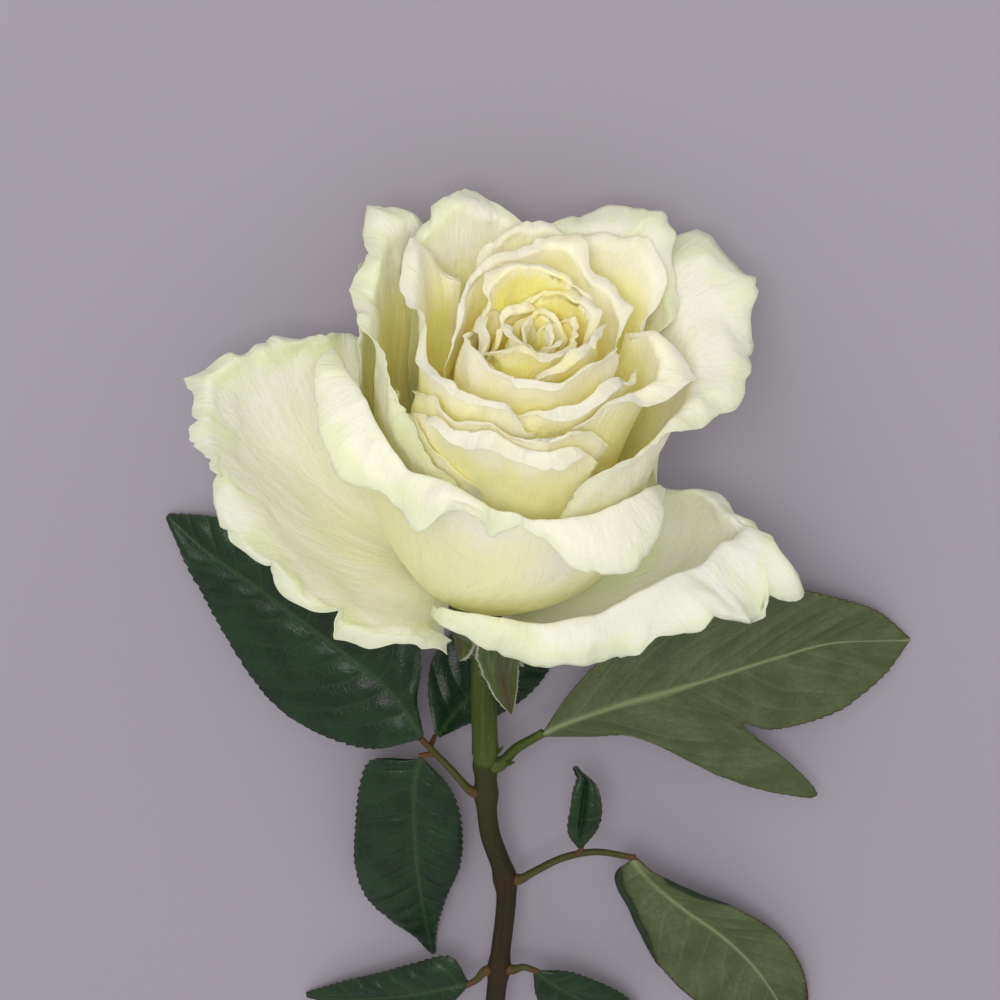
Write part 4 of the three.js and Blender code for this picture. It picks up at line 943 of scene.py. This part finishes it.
def add_blade(name, node, rows, under_up, seed, folds=(), bend=0.0):
    """A toothed blade with veins that leave the midrib and bend towards the tip.

    folds turns strips back over the blade: each is (side, from, to, width), from and to being along
    the blade between 0 and 1. bend curves the last of the blade sideways."""
    shift = node_shift(node)
    long = float(np.linalg.norm(np.diff([r[:3] for r in rows], axis=0), axis=1).sum())
    veins, tooth, depth = 3.4 + 0.04 * long, 1.5 + 0.008 * long, 0.2 + 0.0042 * long
    half_u = np.linspace(0, 1, 38) ** 0.85
    strip = np.linspace(0, 1, 15)[1:] if folds else np.array([])
    line = np.concatenate([-1 - strip[::-1], -half_u[:0:-1], half_u, 1 + strip])
    columns = len(line)
    u, t = np.meshgrid(line, np.linspace(0, 1, int(np.clip(long * 3.6, 110, 330))))
    over = np.maximum(np.abs(u) - 1, 0)
    base = blade_place(rows, shift, np.clip(u, -1, 1), t)
    base[..., 0] -= bend * smooth(t, 0.75, 1) ** 2
    ribs = base[:, columns // 2]
    s = run_along(ribs, 0)[:, None] * np.ones_like(u)
    lateral = np.linalg.norm(base - ribs[:, None], axis=-1)
    width = np.where(u < 0, lateral[:, :1], lateral[:, -1:])
    edge = width - lateral
    folded = np.zeros_like(u)
    for side, low, high, wide in folds:
        band = smooth(t, low, low + 0.1) * (1 - smooth(t, high - 0.16, high))
        folded = np.maximum(folded, wide * band * (np.sign(u) == side))
    flap = over * (folded + 0.12)
    inward = edge + folded * smooth(np.abs(u), 0.9, 1)
    edge = np.where(over > 0, (1 - over) * (folded + 0.12), inward)

    # Teeth: each leans towards the tip, with a slow back and a short front.
    margins = run_along(base, 0)
    run = np.where(u < 0, margins[:, :1], margins[:, -1:])
    phase = run / tooth + 0.35 * noise1(run / 7, seed) + (u > 0) * 0.4
    saw = phase - np.floor(phase)
    shape = np.where(saw < 0.78, smooth(saw, 0, 0.78), 1 - smooth(saw, 0.78, 1))
    size = depth * (0.8 + 0.45 * noise1(phase * 0.37 + 5, seed + 1)) * (1 - 0.6 * smooth(folded, 0, 1))
    size = size * smooth(t, 0.02, 0.16) * smooth(1 - t, 0.0, 0.06)
    reach = smooth(np.abs(u), 0.84, 1.0)
    outward = unit(np.gradient(base, axis=1)) * np.sign(u)[..., None]
    ahead = unit(np.gradient(base, axis=0))
    mid = base + (outward * 0.9 + ahead * 0.5) * ((shape - 0.35) * size * reach)[..., None]
    curl = np.minimum(flap / FOLD_RADIUS, math.pi)
    turned = FOLD_RADIUS * np.sin(curl) - np.maximum(flap - math.pi * FOLD_RADIUS, 0)
    out = np.where(folded > 0.2, turned, flap)
    lifted = np.where(folded > 0.2, FOLD_RADIUS * (1 - np.cos(curl)), 0)

    lean = 0.42 * lateral + 0.016 * lateral**2
    count = (s - lean) / veins + 0.5 * (u > 0) + 0.22 * noise1(s / 8 + 20 * (u > 0), seed + 2)
    count = count + 0.1 * noise2(s / 6, lateral / 5 + 30 * (u > 0), seed + 5)
    off = np.abs(count - np.round(count)) * veins * 0.8
    fading = 1 - 0.75 * smooth(lateral / np.maximum(width, 0.1), 0.6, 0.97)
    fading = fading * smooth(t, 0.01, 0.05) * smooth(1 - t, 0.02, 0.1)
    vein = np.exp(-((off / 0.28) ** 2)) * fading * (0.75 + 0.25 * noise1(lateral / 3, seed + 6))
    rib_wide = (0.25 + 0.005 * long) * (1 - 0.7 * t) + 0.1
    rib = np.exp(-((lateral / rib_wide) ** 2))
    quilt = np.sin(math.pi * np.clip(np.abs(count - np.round(count)) * 2, 0, 1) / 2)
    quilt = quilt * fading * smooth(lateral, 0.4, 4)

    outer = [outward[:, :len(strip) + 1][:, -1:], outward[:, -len(strip) - 1:][:, :1]]
    outward = np.where((over > 0)[..., None], np.where((u < 0)[..., None], *outer), outward)
    flat = facing(base)
    inner = [flat[:, len(strip) + 2][:, None], flat[:, -len(strip) - 3][:, None]]
    flat = np.where((np.abs(u) > 0.97)[..., None], np.where((u < 0)[..., None], *inner), flat)
    mid = mid + outward * out[..., None] + flat * lifted[..., None]
    relief = (-0.35 if under_up else 0.65 * min(1, (long / 65) ** 1.3)) * (quilt - 0.3)
    sway = noise2(s / 11, u * 1.6 + 7, seed + 3) * smooth(np.abs(u), 0.15, 1) * smooth(t, 0, 0.15)
    frill = noise1(run / 4.5, seed + 4) * smooth(np.abs(u), 0.6, 1) * smooth(t, 0, 0.1)
    relief = relief + BLADE_WAVE * (sway + 0.3 * frill)
    mid = mid + flat * (relief * smooth(1 - t, 0, 0.05))[..., None]

    thick = 0.5 * (EDGE_THICK + (LEAF_THICK - EDGE_THICK) * smooth(edge, 0, 1.2))
    groove = thick - 0.12 * vein - 0.12 * rib
    ridge = thick + 0.16 * vein + (0.15 + 0.003 * long) * rib * (1 - 0.6 * t)
    front, back = (ridge, groove) if under_up else (groove, ridge)
    mm = np.stack([lateral * np.sign(u), s, np.full_like(u, 10.0 * seed)], axis=-1)
    shell = Shell()
    edge = np.maximum(edge + (shape - 0.35) * size, 0)
    values = {"edge": edge, "vein": vein, "rib": rib, "mm": mm}
    add_sheet(shell, mid, front, back, values)
    sides = np.vstack(shell.values["front"])
    shell.values["under"] = [sides if under_up else 1 - sides]
    shell.piece(name, LEAF_LOOK)


BLADES = {
    "leaf_right": ("right", True, [
        [10, -41, 19, 10.4, -40.2, 19, 10.6, -41.8, 18.7], [14, -39, 18.9, 15, -33, 18.4, 20, -42.5, 17.6],
        [18, -37.5, 18.7, 20, -27, 17.8, 29, -43.5, 16], [23, -35.7, 18.4, 27, -20, 17, 41, -50, 13.5],
        [28, -34, 18, 35, -15, 16, 55, -57.5, 10.5], [34, -32.5, 17.4, 44, -11.5, 15, 70, -61.5, 7.4],
        [38, -31.6, 16.8, 50, -10.3, 14.2, 65, -54, 9], [41, -31, 16.2, 54, -10, 13.6, 57, -47, 11],
        [44, -30.3, 15.6, 58, -10, 13, 53, -41.5, 12.5], [50, -28.8, 14.2, 64, -11, 11.5, 60, -44, 10.5],
        [60, -26.5, 11.6, 73, -14.5, 8.5, 74, -42, 6], [72, -25, 7.6, 82, -19, 4.8, 84, -35, 3.4],
        [90, -27.5, 0.6, 90, -26.9, 0.6, 89.8, -28.1, 0.6],
    ]),
    "leaflet_left_end": ("left", False, [
        [-15.2, -42.6, 18, -16.2, -43, 18, -14.8, -41.6, 18],
        [-18, -37.5, 17.8, -24, -45.5, 17, -16, -34, 17.5], [-22, -32, 17, -31, -45.5, 15, -15.3, -26, 17],
        [-28, -27, 15.5, -40, -43, 12.5, -17, -18.5, 16], [-35, -22, 13.5, -48, -38, 9, -24, -10, 14],
        [-43, -16.5, 11, -55, -29, 6.5, -35, -3, 11.5], [-52, -10.5, 8, -61, -18.5, 4.5, -48, 1.5, 7.6],
        [-61, -5, 4.6, -65.5, -9, 3, -60, 2.5, 4], [-69.5, 1.5, 0.6, -69.8, 0.9, 0.6, -69, 2, 0.6],
    ]),
    "leaflet_left_low": ("left", False, [
        [-15.5, -47.8, 17, -14.8, -48.1, 17, -16.3, -48.1, 16.9],
        [-16.8, -52.5, 16.2, -10.5, -53.5, 16, -26, -49.5, 14],
        [-17.3, -60, 14.5, -7.8, -60.5, 14.5, -29, -57, 12.3],
        [-17.3, -69, 12.2, -6.8, -69, 12.5, -30.3, -66.5, 10.5],
        [-17, -78, 9.5, -7.6, -78, 10, -30.8, -77, 8],
        [-16.3, -86.5, 6.8, -10.2, -85.5, 7.5, -29, -86.5, 5.2],
        [-15.3, -95.5, 3.8, -12.3, -94.5, 4.4, -24, -95, 2.8],
        [-14, -105.5, 0.6, -13.4, -105, 0.6, -14.6, -105, 0.6],
    ]),
    "leaflet_left_back": ("left", False, [
        [-12, -43.3, 15, -12.6, -42.8, 15, -11.4, -43.8, 15],
        [-8.5, -40, 11, -14, -35, 11.5, -7, -43.5, 10.4], [-4, -36.5, 7.4, -13, -28.5, 8.4, 0, -43, 7],
        [1, -33, 4.8, -8, -23, 5.2, 6, -40, 4.4], [6, -29, 3, 0, -20, 2.8, 11, -35, 2.6],
        [11, -24.5, 1.6, 8, -18.5, 1.4, 14.5, -28, 1.4],
        [16, -18.5, 0.6, 15.4, -18.3, 0.6, 16.4, -19.1, 0.6],
    ]),
    "leaflet_lower_upright": ("lower", False, [
        [18.5, -69, 17, 17.9, -69, 17, 19.1, -69, 17], [18.5, -64, 17.5, 15.8, -64, 18.8, 22, -64, 18.4],
        [19, -59, 17.3, 16.3, -58.5, 18.8, 23, -59.5, 18.4],
        [19.5, -54, 17, 17, -53.5, 18.4, 22.5, -55, 18.2],
        [20, -49.5, 16.5, 19.5, -49.6, 16.5, 20.5, -49.6, 16.5],
    ]),
    "leaflet_lower_long": ("lower", True, [
        [30, -72.8, 15, 30.7, -72.2, 15, 29.2, -73.3, 15], [33, -77, 14.5, 36, -77.5, 14.5, 27, -78, 14],
        [38, -82.5, 13.5, 44, -82.5, 13, 30.5, -87, 12.5],
        [43.5, -88, 12, 53, -87.5, 10.5, 34.5, -97, 10.5], [49.5, -93.5, 10.2, 61, -93.5, 8, 39, -106, 8],
        [55.5, -100.5, 7.6, 67, -101, 5.5, 46, -114.5, 5.5],
        [60.5, -108, 5, 70.5, -109.5, 3.5, 54, -120, 3.2],
        [65, -116.5, 2.6, 71.5, -118, 1.8, 62.5, -124, 1.6],
        [69, -126.5, 0.6, 69.7, -126, 0.6, 68.4, -126.7, 0.6],
    ]),
    "leaflet_foot_left": ("foot", False, [
        [-6, -106.2, 12.2, -6, -106.9, 12.2, -6, -105.5, 12.2],
        [-11, -107.6, 11.8, -10, -112.5, 11, -10, -99.5, 11.8],
        [-17, -110, 10.3, -14.5, -118, 9, -18.5, -102.5, 9.8],
        [-24.5, -112.5, 7.8, -21.5, -121.5, 6.3, -27, -106.5, 7.5],
        [-32, -114.5, 5, -30, -121.5, 4, -34, -109.8, 5],
        [-38, -115.8, 2.7, -37, -119, 2.2, -39.5, -113, 2.7],
        [-43.5, -116.2, 0.6, -43.4, -116.9, 0.6, -43.5, -115.5, 0.6],
    ]),
    "leaflet_foot_right": ("foot", False, [
        [9, -102.8, 12.8, 9.6, -102.3, 12.8, 8.5, -103.3, 12.8],
        [13, -106.5, 12, 16.5, -103.5, 11.5, 9.5, -110.5, 11.5],
        [18.5, -111, 10, 23.5, -107.5, 9.5, 14, -116.5, 9.5],
        [24, -116, 7.6, 29.5, -112.5, 7.1, 19.5, -122, 7.1],
        [29, -121, 4.4, 33, -118.5, 4.2, 26, -125.5, 4.2],
        [33.5, -126, 0.6, 34, -125.5, 0.6, 33, -126.4, 0.6],
    ]),
}
for k, (name, (node, under_up, rows)) in enumerate(BLADES.items()):
    folds = ((1, 0.0, 0.5, 2.6), (-1, 0.08, 0.42, 3.0)) if name == "leaflet_lower_long" else ()
    bend = 2.6 if name == "leaflet_lower_upright" else 0.0
    add_blade(name, node, rows, under_up, 700 + 10 * k, folds, bend)


# ---- Leaf stalks ----
STALK_SIDES, STALK_RINGS = 16, 90


def petiole(name, node, lines, material, extra=None, stout=1.0):
    """A leaf's stalk, one tube for each line. A line that starts with "stem" comes out of the stem."""
    shift = node_shift(node)
    at = node_place(node)
    shell = Shell()
    for number, line in enumerate(lines):
        places = [np.array(p) + [shift[0], shift[1], 0] for p in line if p != "stem"]
        if line[0] == "stem":
            out = places[0] - at
            out[1] *= 0.35
            places = [at + unit(out) * 1.2, at + unit(out) * 3.4, *places]
        tip = places[-1] + unit(places[-1] - places[-2]) * 1.3
        path, run = curve([*places, tip], STALK_RINGS)
        part = np.linspace(0, 1, STALK_RINGS)
        base = 0.62 * np.exp(-((run / 2.6) ** 2)) if line[0] == "stem" else 0
        radius = stout * PETIOLE_DIAMETER / 2 * ((1.08 if line[0] == "stem" else 0.85) - 0.3 * part + base)
        radius = uneven(radius, run, STALK_SIDES, 0.04, 1.5, 4, 51 + number)
        joint = np.exp(-((run / 3.0) ** 2)) + np.exp(-(((run[-1] - run) / 2.5) ** 2))
        add_tube(shell, path, run, radius, np.minimum(joint, 1), [1, 1])
    if extra:
        extra(shell, at)
    shell.piece(name, material)


def stipule(shell, at):
    """The pair of narrow green wings at the foot of a leaf stalk."""
    for side in (-1, 1):
        u, t = np.meshgrid(np.linspace(-1, 1, 13), np.linspace(0, 1, 40))
        out = unit(np.array([0.62, 0.72 if side < 0 else 0.35, 0.25]))
        wide = unit(np.cross(out, [0, 0, 1.0]))
        half = 0.65 * np.sin(math.pi * np.minimum(t + 0.08, 1)) ** 0.7 + 0.05
        place = at + (2.0 + 5.0 * t)[..., None] * out + (u * half + side * 0.9)[..., None] * wide
        place = place + (0.5 * np.abs(u) + 1.0 * t * t)[..., None] * np.array([0, 0, 1.0])
        thin = np.full_like(u, 0.14)
        mm = np.stack([u * 2, u * 2, t * 8], axis=-1)
        add_sheet(shell, place, thin, thin, {"mm": mm, "along": t * 8})


RIGHT_LINE = ["stem", [4.4, -45.4, 17.6], [9.2, -41.6, 18.9]]
petiole("petiole_right", "right", [RIGHT_LINE], STALK_LOOK, stipule, 1.4)
PETIOLES = {
    "left": [
        ["stem", [-9, -50.5, 17], [-13, -45.6, 17.6], [-14.6, -43.6, 17.9]],
        [[-12.4, -46.4, 17.5], [-13.8, -46.6, 17.3], [-14.7, -46.8, 17.2]],
        [[-13.6, -44.9, 17.7], [-13.2, -44.5, 16.5], [-12.9, -44.1, 15.6]],
    ],
    "lower": [
        ["stem", [9, -76, 14.4], [15, -72, 15.8], [22, -70.6, 15.8], [29.4, -72.2, 15.1]],
        [[17.2, -71.4, 15.9], [18, -70.6, 16.5], [18.4, -69.8, 16.9]],
    ],
    "foot_left": [["stem", [-4.2, -105.4, 11.9], [-5.3, -106, 12.1]]],
    "foot_right": [["stem", [6.5, -101.5, 12.9], [8.4, -102.2, 12.9]]],
}
for name, lines in PETIOLES.items():
    petiole(f"petiole_{name}", name.split("_")[0], lines, PETIOLE_LOOK)

# ---- Prickles ----
PRICKLE_SIDES, PRICKLE_RINGS = 20, 26
for k, (y, angle) in enumerate([(-132, 70), (-158, 200), (-187, 330)]):
    at = stem_place(y)
    a = math.radians(angle)
    out = unit(np.array([math.cos(a), -0.35, abs(math.sin(a))]))
    rise = np.linspace(0, 1, PRICKLE_RINGS)
    hook = (1.0 * rise**2)[:, None] * np.array([0, -1.0, 0])
    path = at + (1.7 + 5.0 * rise)[:, None] * out + hook
    radius = (0.85 * (1 - rise) ** 0.8 + 0.03)[:, None] * np.ones((1, PRICKLE_SIDES))
    shell = Shell()
    add_tube(shell, path, 5 * rise, radius, smooth(rise, 0.3, 1), [0, 1])
    # The foot is drawn out along the stem.
    points = shell.points[0]
    foot = np.exp(-((np.linalg.norm(points - at, axis=1) - 1.7) / 1.6) ** 2)
    centre = np.concatenate([np.repeat(path[:, 1], PRICKLE_SIDES), [path[0, 1], path[-1, 1]]])
    points[:, 1] += (points[:, 1] - centre) * 1.3 * foot
    shell.piece(f"prickle_{k + 1}", PETIOLE_LOOK)


# ---- Table, light and camera ----
floor_mesh = bpy.data.meshes.new("table")
REACH, DROP = 6, -0.0004
corners = [(-REACH, -REACH, DROP), (REACH, -REACH, DROP), (REACH, REACH, DROP), (-REACH, REACH, DROP)]
floor_mesh.from_pydata(corners, [], [(0, 1, 2, 3)])
floor = bpy.data.objects.new("table", floor_mesh)
bpy.context.collection.objects.link(floor)
table = bpy.data.materials.new("table")
table.use_nodes = True
surface = table.node_tree.nodes["Principled BSDF"].inputs
surface["Base Color"].default_value = (0.33, 0.305, 0.36, 1)
surface["Roughness"].default_value = 0.8
surface["Specular IOR Level"].default_value = 0.2
floor_mesh.materials.append(table)

world = bpy.data.worlds.new("world")
world.use_nodes = True
sky = world.node_tree.nodes["Background"].inputs
sky["Color"].default_value = (1.0, 0.985, 0.96, 1)
sky["Strength"].default_value = 0.64
bpy.context.scene.world = world

# The camera looks down, leaning by TILT towards the bloom's face. VIEW_WIDTH is what it takes in.
TILT = math.radians(20)
DISTANCE, VIEW_WIDTH = 450.0, 1000 / 5.2
across = Vector((1, 0, 0))
along = Vector((0, math.cos(TILT), -math.sin(TILT)))
toward = Vector((0, math.sin(TILT), math.cos(TILT)))
target = Vector(SHIFT + SEAT) + across * (0.006 * VIEW_WIDTH) + along * (0.07 * VIEW_WIDTH) + toward * 25
camera = bpy.data.objects.new("camera", bpy.data.cameras.new("camera"))
bpy.context.collection.objects.link(camera)
pose = Matrix((across, along, toward)).transposed().to_4x4()
pose.translation = (target + toward * DISTANCE) * MM
camera.matrix_world = pose
camera.data.sensor_width = 36
camera.data.lens = 36 * DISTANCE / VIEW_WIDTH
camera.data.clip_start = 0.01
bpy.context.scene.camera = camera


def soft_light(name, place, size, watts, color):
    lamp = bpy.data.lights.new(name, "AREA")
    lamp.size, lamp.energy, lamp.color = size, watts, color
    made = bpy.data.objects.new(name, lamp)
    made.location = place
    made.rotation_euler = (target * MM - Vector(place)).to_track_quat("-Z", "Y").to_euler()
    bpy.context.collection.objects.link(made)


soft_light("key", (-0.50, 0.95, 0.80), 0.8, 2.2, (1.0, 0.98, 0.94))
soft_light("front", (-0.12, 0.42, 1.15), 0.5, 5.8, (1.0, 0.98, 0.94))
soft_light("fill", (0.7, 0.9, 0.35), 0.9, 1.2, (0.97, 0.98, 1.0))
bpy.context.scene.view_settings.view_transform = "Standard"
bpy.context.scene.cycles.max_bounces = 24
bpy.context.scene.cycles.diffuse_bounces = 12
